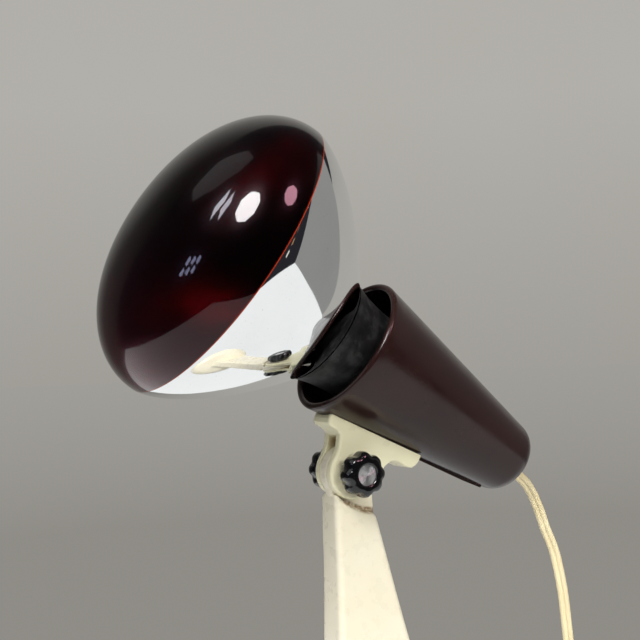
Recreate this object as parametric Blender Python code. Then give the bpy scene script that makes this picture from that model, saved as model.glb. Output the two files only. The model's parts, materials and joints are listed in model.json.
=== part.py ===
"""Table-top infrared therapy lamp: a reflector bulb in a tapered holder shell that tilts on a stand.

World frame, metres: +Z up, the lamp faces -Y, the tilt axis runs along X. The origin lies on the
underside of the base pad, below the tilt axis.
"""

import math

import bmesh
import bpy
from mathutils import Matrix, Vector

GAP = 0.0003

# Tilting head. Head pieces are laid out with the lamp axis along +Y (bulb at -Y) and the tilt
# axis at the head origin, and are then turned nose up by HEAD_TILT.
PIVOT_HEIGHT = 0.178
HEAD_TILT = math.radians(33.5)
AXIS_RISE = 0.0453

BULB_RADIUS = 0.0625
BULB_SEAM_Y = -0.0948
BULB_DOME_DEPTH = 0.0374
BULB_GLASS = 0.0013
COLLAR_RIM_Y = -0.0411
COLLAR_RIM_RADIUS = 0.0250
NECK_END_Y = 0.013
CAP_START_Y = 0.008
CAP_END_Y = 0.032
CAP_RADIUS = 0.0133
THREAD_PITCH = 0.0036

SHELL_MOUTH_Y = -0.0286
SHELL_MOUTH_RADIUS = 0.0311
SHELL_END_Y = 0.0766
SHELL_END_RADIUS = 0.0170
SHELL_END_ROUND = 0.0100
SHELL_WALL = 0.0032
CORD_HOLE_RADIUS = 0.0042
CORD_DROP = 0.0030

HOLDER_FRONT_Y = 0.006
HOLDER_BACK_Y = 0.044
HOLDER_RADIUS = 0.0172

# Clevis joint between saddle and stand arm.
LUG_HALF_WIDTH = 0.0070
EAR_RADIUS = 0.0112
TONGUE_RADIUS = 0.0113
TONGUE_HALF = 0.0023
SLOT_HALF = 0.0033
PIVOT_HOLE_RADIUS = 0.0028
BOLT_RADIUS = 0.00245
BOLT_HALF_LENGTH = 0.0138
SADDLE_SCREWS = (-0.0160, 0.0180)

KNOB_INNER_X = 0.0086
KNOB_FACE_X = 0.0182
KNOB_RADIUS = 0.0095
KNOB_LOBES = 8
KNOB_FLUTE = 0.0011
INSERT_RADIUS = 0.0042
DISC_RADIUS = 0.0047

# Stand.
BASE_HALF_X = 0.056
BASE_HALF_Y = 0.078
BASE_CENTRE_Y = -0.014
BASE_TOP = 0.0257
ARM_FOOT = 0.0260
ARM_SCREWS = (-0.006, 0.028)

# Twin cord, coil and plug.
CORD_WIDTH = 0.0050
COIL_CENTRE = (0.0347, 0.1680)
COIL_RADIUS = 0.0290
COIL_BUNDLE = 0.0068
CORD_ROUTE = (
    (0.0, 0.08898, 0.16984),
    (0.0, 0.09290, 0.16725),
    (0.0, 0.09680, 0.16370),
    (0.0, 0.10040, 0.15850),
    (0.0, 0.10310, 0.15300),
    (0.0, 0.10550, 0.14700),
    (0.0, 0.10770, 0.14090),
    (0.0, 0.11080, 0.13430),
    (0.0, 0.11360, 0.12600),
    (0.0, 0.11690, 0.10900),
    (0.0, 0.11900, 0.08600),
    (0.0, 0.12080, 0.06000),
    (0.0, 0.12330, 0.03700),
    (0.0, 0.12960, 0.01700),
    (-0.0006, 0.14030, 0.00560),
    (-0.0020, 0.15300, 0.00260),
    (-0.0030, 0.16800, 0.00255),
)

PIVOT = Vector((0.0, 0.0, PIVOT_HEIGHT))
HEAD = Matrix.Translation(PIVOT) @ Matrix.Rotation(-HEAD_TILT, 4, "X")
LAMP = HEAD @ Matrix.Translation((0.0, 0.0, AXIS_RISE))
CORD_EXIT = LAMP @ Matrix.Translation((0.0, 0.0, -CORD_DROP))
NEAR = Matrix.Translation(PIVOT) @ Matrix.Rotation(-math.pi / 2, 4, "Z")
FAR = Matrix.Translation(PIVOT) @ Matrix.Rotation(math.pi / 2, 4, "Z")
UPRIGHT = Matrix.Rotation(math.pi / 2, 4, "X")
WORLD = Matrix.Identity(4)


def clear_objects():
    for item in list(bpy.data.objects):
        bpy.data.objects.remove(item)


def material(name, colour, roughness, metallic=0.0):
    made = bpy.data.materials.new(name)
    made.use_nodes = True
    shader = made.node_tree.nodes["Principled BSDF"]
    shader.inputs["Base Color"].default_value = (*colour, 1.0)
    shader.inputs["Roughness"].default_value = roughness
    shader.inputs["Metallic"].default_value = metallic
    made.diffuse_color = (*colour, 1.0)
    return made


def to_object(name, bm, origin):
    bmesh.ops.recalc_face_normals(bm, faces=bm.faces)
    bm.transform(Matrix.Translation(-Vector(origin)))
    mesh = bpy.data.meshes.new(name)
    bm.to_mesh(mesh)
    bm.free()
    item = bpy.data.objects.new(name, mesh)
    item.location = origin
    bpy.context.scene.collection.objects.link(item)
    return item


def finish(item, colour, roughness, metallic=0.0, sharp=38.0):
    item.data.materials.clear()
    item.data.materials.append(material(item.name, colour, roughness, metallic))
    for face in item.data.polygons:
        face.use_smooth = True
    item.data.set_sharp_from_angle(angle=math.radians(sharp))
    return item


def combine(item, tool, operation):
    """Joins or cuts item with tool, and removes tool."""
    step = item.modifiers.new("solid", "BOOLEAN")
    step.operation = operation
    step.solver = "EXACT"
    step.object = tool
    depsgraph = bpy.context.evaluated_depsgraph_get()
    made = bpy.data.meshes.new_from_object(item.evaluated_get(depsgraph))
    made.name = item.name
    item.modifiers.clear()
    item.data = made
    bpy.data.objects.remove(tool)


def cut(item, bm):
    combine(item, to_object("tool", bm, (0.0, 0.0, 0.0)), "DIFFERENCE")


def join(item, bm):
    combine(item, to_object("tool", bm, (0.0, 0.0, 0.0)), "UNION")


def skin(bm, rings, closed):
    """Bridges neighbouring rings of vertices; a ring of one vertex is a pole."""
    pairs = list(zip(rings, rings[1:]))
    if closed:
        pairs.append((rings[-1], rings[0]))
    for first, second in pairs:
        count = max(len(first), len(second))
        for i in range(count):
            j = (i + 1) % count
            if len(first) == 1:
                bm.faces.new((first[0], second[i], second[j]))
            elif len(second) == 1:
                bm.faces.new((first[i], second[0], first[j]))
            else:
                bm.faces.new((first[i], second[i], second[j], first[j]))


def lathe(profile, frame, segments=32, closed=False, radius_at=None):
    """Turns (along, radius) points about the frame's Y axis."""
    bm = bmesh.new()
    rings = []
    for along, radius in profile:
        if radius < 1e-9:
            rings.append([bm.verts.new(frame @ Vector((0.0, along, 0.0)))])
            continue
        ring = []
        for i in range(segments):
            angle = 2 * math.pi * i / segments
            reach = radius_at(angle, radius) if radius_at else radius
            point = Vector((reach * math.cos(angle), along, reach * math.sin(angle)))
            ring.append(bm.verts.new(frame @ point))
        rings.append(ring)
    skin(bm, rings, closed)
    return bm


def rod(start, end, radius, frame, segments=20):
    profile = [(start, 0.0), (start, radius), (end, radius), (end, 0.0)]
    return lathe(profile, frame, segments)


def tube_ring(start, end, inner, outer, frame, segments=32):
    profile = [(start, inner), (start, outer), (end, outer), (end, inner)]
    return lathe(profile, frame, segments, closed=True)


def block(low, high, frame):
    bm = bmesh.new()
    made = bmesh.ops.create_cube(bm, size=1.0)
    size = [b - a for a, b in zip(low, high)]
    middle = [(a + b) / 2 for a, b in zip(low, high)]
    for vert in made["verts"]:
        vert.co = Vector([m + c * s for m, c, s in zip(middle, vert.co, size)])
    bm.transform(frame)
    return bm


def inset(outline, distance):
    """Moves each corner of a counter-clockwise (y, z) outline inwards."""
    moved = []
    count = len(outline)
    for i in range(count):
        before = Vector(outline[i - 1])
        here = Vector(outline[i])
        after = Vector(outline[(i + 1) % count])
        first = (here - before).normalized()
        second = (after - here).normalized()
        inward = Vector((-first.y - second.y, first.x + second.x)).normalized()
        lean = max(0.5, inward.dot(Vector((-second.y, second.x))))
        moved.append(here + inward * distance / lean)
    return moved


def slab(outline, half_at, frame, rounding=0.0, steps=3):
    """Extrudes a counter-clockwise (y, z) outline along X, with rounded long edges."""
    bm = bmesh.new()
    sections = []
    for k in range(steps + 1):
        angle = math.pi / 2 * k / steps
        depth = rounding * (1 - math.sin(angle))
        short = rounding * (1 - math.cos(angle))
        sections.append((short, depth))
    sections = sections[::-1] if rounding else [(0.0, 0.0)]
    layout = [(-1, short, depth) for short, depth in reversed(sections)]
    layout += [(1, short, depth) for short, depth in sections]
    rings = []
    for side, short, depth in layout:
        ring = []
        for y, z in inset(outline, depth):
            x = side * (half_at(z) - short)
            ring.append(bm.verts.new(frame @ Vector((x, y, z))))
        rings.append(ring)
    skin(bm, rings, closed=False)
    bm.faces.new(rings[0])
    bm.faces.new(rings[-1])
    return bm


def arc(centre, radius, start, end, steps):
    """Points (y, z) on a circle from start to end, in degrees from +Y."""
    points = []
    for i in range(steps + 1):
        angle = math.radians(start + (end - start) * i / steps)
        points.append((centre[0] + radius * math.cos(angle), centre[1] + radius * math.sin(angle)))
    return points


def shell_radius(y):
    """Outer radius of the tapered shell at y along the lamp axis."""
    run = SHELL_END_Y - SHELL_END_ROUND - SHELL_MOUTH_Y
    fall = SHELL_MOUTH_RADIUS - SHELL_END_RADIUS
    return SHELL_MOUTH_RADIUS - fall * (y - SHELL_MOUTH_Y) / run


def smooth_route(points, spacing):
    """Points every spacing metres on a Catmull-Rom curve through the given points."""
    knots = [Vector(p) for p in points]
    knots = [2 * knots[0] - knots[1]] + knots + [2 * knots[-1] - knots[-2]]
    dense = []
    for i in range(1, len(knots) - 2):
        a, b, c, d = knots[i - 1 : i + 3]
        for k in range(24):
            t = k / 24
            even = (-a + c) * t + (2 * a - 5 * b + 4 * c - d) * t**2 + (-a + 3 * b - 3 * c + d) * t**3
            dense.append(b + 0.5 * even)
    dense.append(knots[-2])
    total = sum((q - p).length for p, q in zip(dense, dense[1:]))
    count = max(2, round(total / spacing))
    made = [dense[0]]
    walked = 0.0
    for p, q in zip(dense, dense[1:]):
        step = (q - p).length
        while len(made) < count and walked + step >= total * len(made) / count:
            made.append(p.lerp(q, (total * len(made) / count - walked) / step))
        walked += step
    made.append(dense[-1])
    return made


def strand(name, points, radius, origin, resolution=2):
    """Round wire or cord as a curve with closed ends."""
    data = bpy.data.curves.new(name, "CURVE")
    data.dimensions = "3D"
    data.bevel_depth = radius
    data.bevel_resolution = resolution
    data.render_resolution_u = 0
    data.use_fill_caps = True
    line = data.splines.new("POLY")
    line.points.add(len(points) - 1)
    for slot, point in zip(line.points, points):
        slot.co = (*(Vector(point) - Vector(origin)), 1.0)
    item = bpy.data.objects.new(name, data)
    item.location = origin
    bpy.context.scene.collection.objects.link(item)
    return item


def finish_strand(item, colour, roughness, metallic=0.0):
    item.data.materials.append(material(item.name, colour, roughness, metallic))
    return item


# ---------------------------------------------------------------- bulb


def bulb_point(y, radius=0.0):
    return LAMP @ Vector((radius, y, 0.0))


def dome_profile(radius, depth, start_y, steps):
    points = []
    for i in range(steps + 1):
        angle = math.pi / 2 * i / steps
        reach = radius * max(0.0, math.cos(angle)) ** (2 / 2.2)
        points.append((start_y - depth * math.sin(angle), reach if i < steps else 0.0))
    return points


def make_bulb_front():
    start = BULB_SEAM_Y - GAP / 2
    outer = dome_profile(BULB_RADIUS, BULB_DOME_DEPTH, start, 9)
    inner = dome_profile(BULB_RADIUS - BULB_GLASS, BULB_DOME_DEPTH - BULB_GLASS, start, 7)
    bm = lathe(inner[::-1] + outer, LAMP, 48)
    finish(to_object("bulb_front", bm, bulb_point(BULB_SEAM_Y)), (0.09, 0.006, 0.012), 0.05)


def reflector_profile(offset, shares):
    """Silvered bowl from the seam to the neck, moved inwards by offset."""
    points = []
    run = COLLAR_RIM_Y - BULB_SEAM_Y
    for share in shares:
        reach = 0.0240 + (BULB_RADIUS - 0.0240) * (1 - share**1.5)
        points.append((BULB_SEAM_Y + run * share + (GAP / 2 if share == 0.0 else 0.0), reach - offset))
    neck = ((-0.0360, 0.0206), (-0.0300, 0.0184), (-0.0200, 0.0167), (0.0, 0.0156))
    neck += ((0.0045, 0.0143), (0.0072, 0.01255), (NECK_END_Y, 0.01250))
    points += [(y, reach - offset) for y, reach in neck]
    return points


def make_bulb_reflector():
    outer = reflector_profile(0.0, (0.0, 0.13, 0.29, 0.47, 0.66, 0.84, 1.0))
    inner = reflector_profile(BULB_GLASS, (0.0, 0.25, 0.5, 0.75, 1.0))
    bm = lathe(outer + inner[::-1], LAMP, 48, closed=True)
    item = to_object("bulb_reflector", bm, bulb_point(BULB_SEAM_Y))
    finish(item, (0.82, 0.83, 0.84), 0.06, 1.0)


def thread_line(start, end, crest, root):
    """Rolled thread seen in section: a zigzag of rings, one ring to a turn."""
    turns = round((end - start) / THREAD_PITCH)
    points = []
    for i in range(2 * turns + 1):
        y = start + (end - start) * i / (2 * turns)
        points.append((y, crest if i % 2 else root))
    return points


def make_bulb_cap():
    outer = [(CAP_START_Y, CAP_RADIUS), (0.0136, CAP_RADIUS)]
    outer += thread_line(0.0140, CAP_END_Y - 0.0004, CAP_RADIUS, CAP_RADIUS - 0.0007)
    inner = [(CAP_END_Y, 0.0119), (0.0140, 0.0119), (0.0136, 0.01285), (CAP_START_Y, 0.01285)]
    bm = lathe(outer + inner, LAMP, 24, closed=True)
    finish(to_object("bulb_cap", bm, bulb_point(CAP_END_Y)), (0.72, 0.66, 0.50), 0.28, 1.0)


def make_bulb_insulator():
    profile = [(0.0323, 0.0), (0.0323, 0.0114), (0.0330, 0.0112), (0.0350, 0.0062), (0.0350, 0.0)]
    bm = lathe(profile, LAMP, 28)
    finish(to_object("bulb_insulator", bm, bulb_point(0.0330)), (0.02, 0.02, 0.025), 0.15)


def make_bulb_tip():
    profile = [(0.0353, 0.0), (0.0353, 0.0044), (0.0362, 0.0041), (0.0370, 0.0025), (0.0372, 0.0)]
    bm = lathe(profile, LAMP, 24)
    finish(to_object("bulb_tip_contact", bm, bulb_point(0.0360)), (0.62, 0.61, 0.58), 0.35, 1.0)


def make_bulb_stem():
    profile = [(0.0120, 0.0), (0.0120, 0.0095), (0.0095, 0.0092), (0.0030, 0.0050)]
    profile += [(-0.0250, 0.0036), (-0.0420, 0.0034), (-0.0435, 0.0020), (-0.0440, 0.0)]
    bm = lathe(profile, LAMP, 20)
    finish(to_object("bulb_stem", bm, bulb_point(0.0)), (0.75, 0.78, 0.76), 0.08)


def make_filament():
    """Wound wire held as three quarters of a ring across the lamp axis."""
    points = []
    for i in range(22):
        angle = math.radians(-45 + 270 * i / 21)
        points.append(LAMP @ Vector((0.0130 * math.cos(angle), -0.0640, 0.0130 * math.sin(angle))))
    finish_strand(strand("filament", points, 0.0009, bulb_point(-0.0640)), (0.30, 0.29, 0.28), 0.4, 1.0)


def make_filament_leads():
    for side, name in ((1, "filament_lead_near"), (-1, "filament_lead_far")):
        points = [
            LAMP @ Vector((side * 0.0036, -0.0452, 0.0)),
            LAMP @ Vector((side * 0.0060, -0.0520, -0.0030)),
            LAMP @ Vector((side * 0.0088, -0.0610, -0.0080)),
            LAMP @ Vector((side * 0.0090, -0.0627, -0.0092)),
        ]
        finish_strand(strand(name, points, 0.0005, points[0], 1), (0.55, 0.54, 0.50), 0.35, 1.0)


# ---------------------------------------------------------------- lampholder and shell


def make_heat_collar():
    outer = [(COLLAR_RIM_Y, COLLAR_RIM_RADIUS), (-0.0370, 0.0233), (-0.0320, 0.0218)]
    outer += [(-0.0230, 0.0206), (0.0051, 0.0200)]
    inner = [(0.0051, 0.0165), (0.0040, 0.0165), (0.0036, 0.0188), (-0.0230, 0.0194)]
    inner += [(-0.0320, 0.0206), (-0.0370, 0.0221), (COLLAR_RIM_Y, 0.0246)]
    bm = lathe(outer + inner, LAMP, 44, closed=True)
    finish(to_object("heat_collar", bm, PIVOT), (0.018, 0.018, 0.019), 0.62)


def make_lampholder_body():
    profile = [(HOLDER_BACK_Y, 0.0), (HOLDER_BACK_Y, 0.0150), (0.0405, HOLDER_RADIUS)]
    profile += [(0.0070, HOLDER_RADIUS), (HOLDER_FRONT_Y, 0.0164), (HOLDER_FRONT_Y, 0.0148)]
    profile += [(0.0390, 0.0148), (0.0390, 0.0)]
    item = to_object("lampholder_body", lathe(profile, LAMP, 36), PIVOT)
    for side in (1, -1):
        frame = LAMP @ Matrix.Translation((0.0, 0.0, side * 0.0115))
        cut(item, rod(0.0402, 0.0460, 0.0018, frame, 16))
        frame = LAMP @ Matrix.Translation((side * 0.0050, 0.0, 0.0))
        cut(item, rod(0.0410, 0.0460, 0.0022, frame, 16))
    finish(item, (0.83, 0.82, 0.77), 0.22)


def make_lampholder_shell():
    inner = thread_line(0.0076, 0.0364, 0.01405, 0.01365)
    outer = [(0.0364, 0.01450), (0.0076, 0.01450)]
    bm = lathe(inner + outer, LAMP, 22, closed=True)
    finish(to_object("lampholder_thread_shell", bm, PIVOT), (0.70, 0.52, 0.22), 0.3, 1.0)


def make_lampholder_contact():
    profile = [(0.0387, 0.0), (0.0387, 0.0052), (0.0381, 0.0052), (0.0376, 0.0030), (0.0376, 0.0)]
    bm = lathe(profile, LAMP, 24)
    finish(to_object("lampholder_contact", bm, PIVOT), (0.70, 0.45, 0.25), 0.32, 1.0)


def make_holder_bracket():
    item = to_object(
        "holder_bracket", tube_ring(0.0443, 0.0457, 0.0085, 0.0158, LAMP, 40), PIVOT
    )
    for side in (1, -1):
        frame = LAMP @ Matrix.Translation((0.0, 0.0, side * 0.0115))
        cut(item, rod(0.0430, 0.0470, 0.0018, frame, 16))
    finish(item, (0.55, 0.55, 0.53), 0.35, 1.0)


def cheese_screw(name, frame, head_top, head_bottom, end, head_radius, radius, colour):
    """Slot-headed screw along the frame's Y axis, head first."""
    profile = [(head_top, 0.0), (head_top, head_radius), (head_bottom, head_radius)]
    profile += [(head_bottom, radius), (end, radius), (end, 0.0)]
    item = to_object(name, lathe(profile, frame, 20), frame.translation)
    middle = head_top + (head_bottom - head_top) * 0.45
    low = (-head_radius * 1.2, min(head_top * 2 - middle, middle), -head_radius * 0.13)
    high = (head_radius * 1.2, max(head_top * 2 - middle, middle), head_radius * 0.13)
    cut(item, block(low, high, frame))
    finish(item, colour, 0.35, 1.0)


def make_holder_screws():
    for side, name in ((1, "holder_screw_upper"), (-1, "holder_screw_lower")):
        frame = LAMP @ Matrix.Translation((0.0, 0.0, side * 0.0115))
        cheese_screw(name, frame, 0.0478, 0.0460, 0.0406, 0.0030, 0.00145, (0.62, 0.60, 0.55))


def make_terminals():
    for side, name in ((1, "terminal_near"), (-1, "terminal_far")):
        frame = LAMP @ Matrix.Translation((side * 0.0050, 0.0, 0.0))
        cheese_screw(name, frame, 0.0500, 0.0482, 0.0414, 0.0029, 0.0018, (0.72, 0.55, 0.26))


def make_wires():
    for side, name in ((1, "wire_near"), (-1, "wire_far")):
        route = ((0.0050, 0.0511, 0.0), (0.0049, 0.0535, -0.0003))
        route += ((0.0034, 0.0568, -0.0020), (0.0014, 0.0606, -CORD_DROP))
        points = [LAMP @ Vector((side * x, y, z)) for x, y, z in route]
        item = strand(name, smooth_route(points, 0.0016), 0.0008, PIVOT, 1)
        finish_strand(item, (0.75, 0.70, 0.52), 0.5)


def make_cord_clamp():
    bm = tube_ring(0.0625, 0.0680, 0.0028, 0.0096, CORD_EXIT, 32)
    finish(to_object("cord_clamp", bm, PIVOT), (0.05, 0.045, 0.045), 0.5)


def make_cord_tail():
    bm = rod(0.0612, 0.0783, CORD_WIDTH / 2, CORD_EXIT, 16)
    finish(to_object("cord_tail", bm, PIVOT), (0.86, 0.78, 0.55), 0.5)


def make_cord_grommet():
    inner = 0.00285
    profile = [(0.0700, inner), (0.0700, 0.0056), (0.0724, 0.0056), (0.0726, 0.0039)]
    profile += [(0.0769, 0.0039), (0.0770, 0.0056), (0.0778, 0.0052), (0.0783, 0.0042), (0.0784, inner)]
    bm = lathe(profile, CORD_EXIT, 24, closed=True)
    finish(to_object("cord_grommet", bm, PIVOT), (0.03, 0.028, 0.028), 0.55)


def make_housing_shell():
    wall = SHELL_WALL
    lip = wall / 2
    middle = (SHELL_MOUTH_Y + lip, shell_radius(SHELL_MOUTH_Y) - lip)
    centre = (SHELL_END_Y - SHELL_END_ROUND, SHELL_END_RADIUS - SHELL_END_ROUND)
    outer_end = arc(centre, SHELL_END_ROUND, 82, 0, 5)
    inner_end = arc(centre, SHELL_END_ROUND - wall, 0, 82, 4)
    outline = [(SHELL_END_Y - wall, 0.0)] + inner_end + arc(middle, lip, -90, -276, 5)
    outline += outer_end + [(SHELL_END_Y, 0.0)]
    item = to_object("housing_shell", lathe(outline, LAMP, 48), PIVOT)
    cut(item, rod(SHELL_END_Y - 0.008, SHELL_END_Y + 0.004, CORD_HOLE_RADIUS, CORD_EXIT, 24))
    rib_half = 0.0006
    front, back = 0.0275, 0.0690
    rib = [(front, AXIS_RISE - shell_radius(front) - 0.0007), (back, AXIS_RISE - shell_radius(back) - 0.0007)]
    rib += [(back, AXIS_RISE - shell_radius(back) + 0.0015), (front, AXIS_RISE - shell_radius(front) + 0.0015)]
    join(item, slab(rib, lambda z: rib_half, HEAD))
    for y in SADDLE_SCREWS:
        frame = HEAD @ Matrix.Translation((0.0, y, 0.0)) @ UPRIGHT
        cut(item, rod(0.0080, 0.0300, 0.0022, frame, 20))
    finish(item, (0.062, 0.030, 0.028), 0.2)


# ---------------------------------------------------------------- saddle and clevis


def saddle_outline():
    points = arc((0.0, 0.0), EAR_RADIUS, 5, -185, 26)
    points += [(-0.0131, 0.0085), (-0.0142, 0.0104), (-0.0162, 0.0111), (-0.0192, 0.0111)]
    points += [(-0.0206, 0.0118), (-0.0212, 0.0134), (-0.0212, 0.0205)]
    points += [(0.0262, 0.0275), (0.0264, 0.0190), (0.0250, 0.0160), (0.0225, 0.0147)]
    points += [(0.0165, 0.0141), (0.0139, 0.0126), (0.0124, 0.0095), (0.0117, 0.0050)]
    return points[::-1]


def make_saddle():
    outline = saddle_outline()
    item = to_object("saddle", slab(outline, lambda z: LUG_HALF_WIDTH, HEAD, 0.0012), PIVOT)
    cone = [(-0.060, 0.0), (-0.060, shell_radius(-0.060) + GAP)]
    cone += [(0.060, shell_radius(0.060) + GAP), (0.060, 0.0)]
    cut(item, lathe(cone, LAMP, 48))
    cut(item, block((-SLOT_HALF, -0.030, -0.020), (SLOT_HALF, 0.0004, 0.0100), HEAD))
    cut(item, block((-SLOT_HALF, -0.0001, -0.020), (SLOT_HALF, 0.030, 0.0122), HEAD))
    side = Matrix.Rotation(-math.pi / 2, 4, "Z")
    cut(item, rod(-SLOT_HALF, SLOT_HALF, 0.0118, HEAD @ side, 40))
    cut(item, rod(-0.010, 0.010, PIVOT_HOLE_RADIUS, HEAD @ side, 24))
    for y, floor in zip(SADDLE_SCREWS, (0.0127, 0.0162)):
        frame = HEAD @ Matrix.Translation((0.0, y, 0.0)) @ UPRIGHT
        cut(item, rod(floor, 0.0300, 0.0021, frame, 20))
    finish(item, (0.82, 0.79, 0.60), 0.32)


def make_saddle_screws():
    heads = (0.0226, 0.0274)
    undersides = (0.0206, 0.0256)
    ends = (0.0131, 0.0166)
    names = ("saddle_screw_front", "saddle_screw_rear")
    for name, y, top, under, end in zip(names, SADDLE_SCREWS, heads, undersides, ends):
        frame = HEAD @ Matrix.Translation((0.0, y, 0.0)) @ UPRIGHT
        cheese_screw(name, frame, top, under, end, 0.0034, 0.00175, (0.60, 0.58, 0.53))


def make_pivot_bolt():
    item = to_object("pivot_bolt", rod(-BOLT_HALF_LENGTH, BOLT_HALF_LENGTH, BOLT_RADIUS, NEAR, 24), PIVOT)
    finish(item, (0.58, 0.57, 0.54), 0.35, 1.0)


def make_friction_washers():
    for frame, name in ((NEAR, "friction_washer_near"), (FAR, "friction_washer_far")):
        item = to_object(name, tube_ring(0.0026, 0.0030, PIVOT_HOLE_RADIUS, 0.0095, frame, 24), PIVOT)
        finish(item, (0.30, 0.17, 0.09), 0.7)


def flute(angle, radius):
    """Scalloped radius of a knob."""
    dip = 0.5 - 0.5 * math.cos(KNOB_LOBES * angle)
    share = max(0.0, (radius - 0.0055) / (KNOB_RADIUS - 0.0055))
    return radius - KNOB_FLUTE * share * dip**1.5


def make_knob(frame, side):
    face = KNOB_FACE_X
    base = KNOB_INNER_X
    outer = [(base, 0.0070), (base + 0.0006, 0.0078), (base + 0.0016, 0.0088), (base + 0.0030, KNOB_RADIUS)]
    outer += [(face - 0.0034, KNOB_RADIUS), (face - 0.0018, 0.0091), (face - 0.0006, 0.0082), (face, 0.0070)]
    recess = [(face, 0.0050), (face - 0.0020, 0.0050), (face - 0.0020, 0.0)]
    bore = [(0.0150, 0.0), (0.0150, 0.0045), (base, 0.0045)]
    bm = lathe(bore + outer + recess, frame, 48, radius_at=flute)
    item = to_object("knob_" + side, bm, frame @ Vector((0.0, 0.0133, 0.0)))
    finish(item, (0.012, 0.012, 0.013), 0.16)


def make_knob_fittings(frame, side):
    centre = frame @ Vector((0.0, 0.0133, 0.0))
    item = to_object("knob_insert_" + side, tube_ring(0.0089, 0.0147, 0.0028, INSERT_RADIUS, frame, 28), centre)
    finish(item, (0.72, 0.55, 0.26), 0.3, 1.0)
    face = KNOB_FACE_X
    profile = [(face - 0.0017, 0.0), (face - 0.0017, DISC_RADIUS), (face - 0.0011, DISC_RADIUS)]
    profile += [(face - 0.0009, DISC_RADIUS - 0.0003), (face - 0.0009, 0.0)]
    item = to_object("knob_disc_" + side, lathe(profile, frame, 36), centre)
    finish(item, (0.78, 0.78, 0.77), 0.3, 1.0)
    item = to_object("clamp_washer_" + side, tube_ring(0.0073, 0.0083, 0.0028, 0.0072, frame, 24), centre)
    finish(item, (0.60, 0.60, 0.58), 0.32, 1.0)


# ---------------------------------------------------------------- stand


def arm_half(z):
    """Half thickness of the arm at height z below the tilt axis."""
    return LUG_HALF_WIDTH + 0.022 * max(0.0, -z - 0.012)


def arm_outline():
    foot = ARM_FOOT - PIVOT_HEIGHT
    shoulder = arc((0.01484, 0.01503), 0.0327, 217, 262, 9)
    front = [(-0.0113, -0.0060), (-0.0113, -0.0450), (-0.0118, -0.0800), (-0.0140, -0.1080)]
    front += [(-0.0185, -0.1320), (-0.0240, -0.1460), (-0.0275, foot)]
    rear = [(0.0520, foot), (0.0470, -0.1430), (0.0395, -0.1220), (0.0300, -0.0920)]
    rear += [(0.0216, -0.0620), (0.0158, -0.0390), (0.0120, -0.0240)]
    top = [p for p in shoulder if p[0] > -0.0112]
    return front + rear + top[::-1]


def make_arm():
    frame = Matrix.Translation(PIVOT)
    item = to_object("stand_arm", slab(arm_outline(), arm_half, frame, 0.0026), (0.0, 0.0, 0.0))
    tongue = [(-TONGUE_RADIUS, -0.0300), (0.0118, -0.0300), (TONGUE_RADIUS, -0.0120)]
    tongue += arc((0.0, 0.0), TONGUE_RADIUS, 0, 180, 24)
    join(item, slab(tongue, lambda z: TONGUE_HALF, frame))
    cut(item, rod(-0.010, 0.010, PIVOT_HOLE_RADIUS, NEAR, 24))
    for y in ARM_SCREWS:
        screw = Matrix.Translation((0.0, y, 0.0)) @ UPRIGHT
        cut(item, rod(0.020, ARM_FOOT + 0.014, 0.0024, screw, 20))
    finish(item, (0.86, 0.82, 0.66), 0.3)


def oval(profile, segments=40):
    """Stacks ovals given as (inset from the base edge, height), with flat ends."""
    bm = bmesh.new()
    rings = []
    for short, z in profile:
        ring = []
        for i in range(segments):
            angle = 2 * math.pi * i / segments
            x = (BASE_HALF_X - short) * math.cos(angle)
            y = BASE_CENTRE_Y + (BASE_HALF_Y - short) * math.sin(angle)
            ring.append(bm.verts.new((x, y, z)))
        rings.append(ring)
    skin(bm, rings, closed=False)
    bm.faces.new(rings[0])
    bm.faces.new(rings[-1])
    return bm


def make_base_shell():
    profile = [(0.0300, BASE_TOP), (0.0210, 0.0248), (0.0130, 0.0225), (0.0070, 0.0187)]
    profile += [(0.0028, 0.0135), (0.0006, 0.0080), (0.0, 0.0030), (0.0006, 0.0012), (0.0024, 0.0012)]
    profile += [(0.0030, 0.0030), (0.0032, 0.0080), (0.0053, 0.0122), (0.0094, 0.0165), (0.0150, 0.0197)]
    profile += [(0.0226, 0.0219), (0.0310, 0.0226)]
    item = to_object("base_shell", oval(profile), (0.0, 0.0, 0.0))
    for y in ARM_SCREWS:
        cut(item, rod(0.018, 0.030, 0.0026, Matrix.Translation((0.0, y, 0.0)) @ UPRIGHT, 20))
    finish(item, (0.86, 0.82, 0.66), 0.3)


def make_base_weight():
    profile = [(0.0046, 0.0036), (0.0046, 0.0075), (0.0070, 0.0108), (0.0110, 0.0145)]
    item = to_object("base_weight", oval(profile), (0.0, 0.0, 0.0))
    for y in ARM_SCREWS:
        frame = Matrix.Translation((0.0, y, 0.0)) @ UPRIGHT
        stepped = [(0.0010, 0.0), (0.0010, 0.0050), (0.0075, 0.0050), (0.0075, 0.0026), (0.0200, 0.0026), (0.0200, 0.0)]
        cut(item, lathe(stepped, frame, 24))
    finish(item, (0.09, 0.09, 0.095), 0.6, 1.0)


def make_base_plate():
    profile = [(0.0036, 0.0021), (0.0036, 0.0033)]
    item = to_object("base_plate", oval(profile), (0.0, 0.0, 0.0))
    for y in ARM_SCREWS:
        cut(item, rod(0.0010, 0.0050, 0.0050, Matrix.Translation((0.0, y, 0.0)) @ UPRIGHT, 24))
    finish(item, (0.45, 0.45, 0.44), 0.4, 1.0)


def make_base_pad():
    profile = [(0.0044, 0.0), (0.0036, 0.0006), (0.0036, 0.0018)]
    finish(to_object("base_pad", oval(profile), (0.0, 0.0, 0.0)), (0.10, 0.11, 0.10), 0.9)


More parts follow.
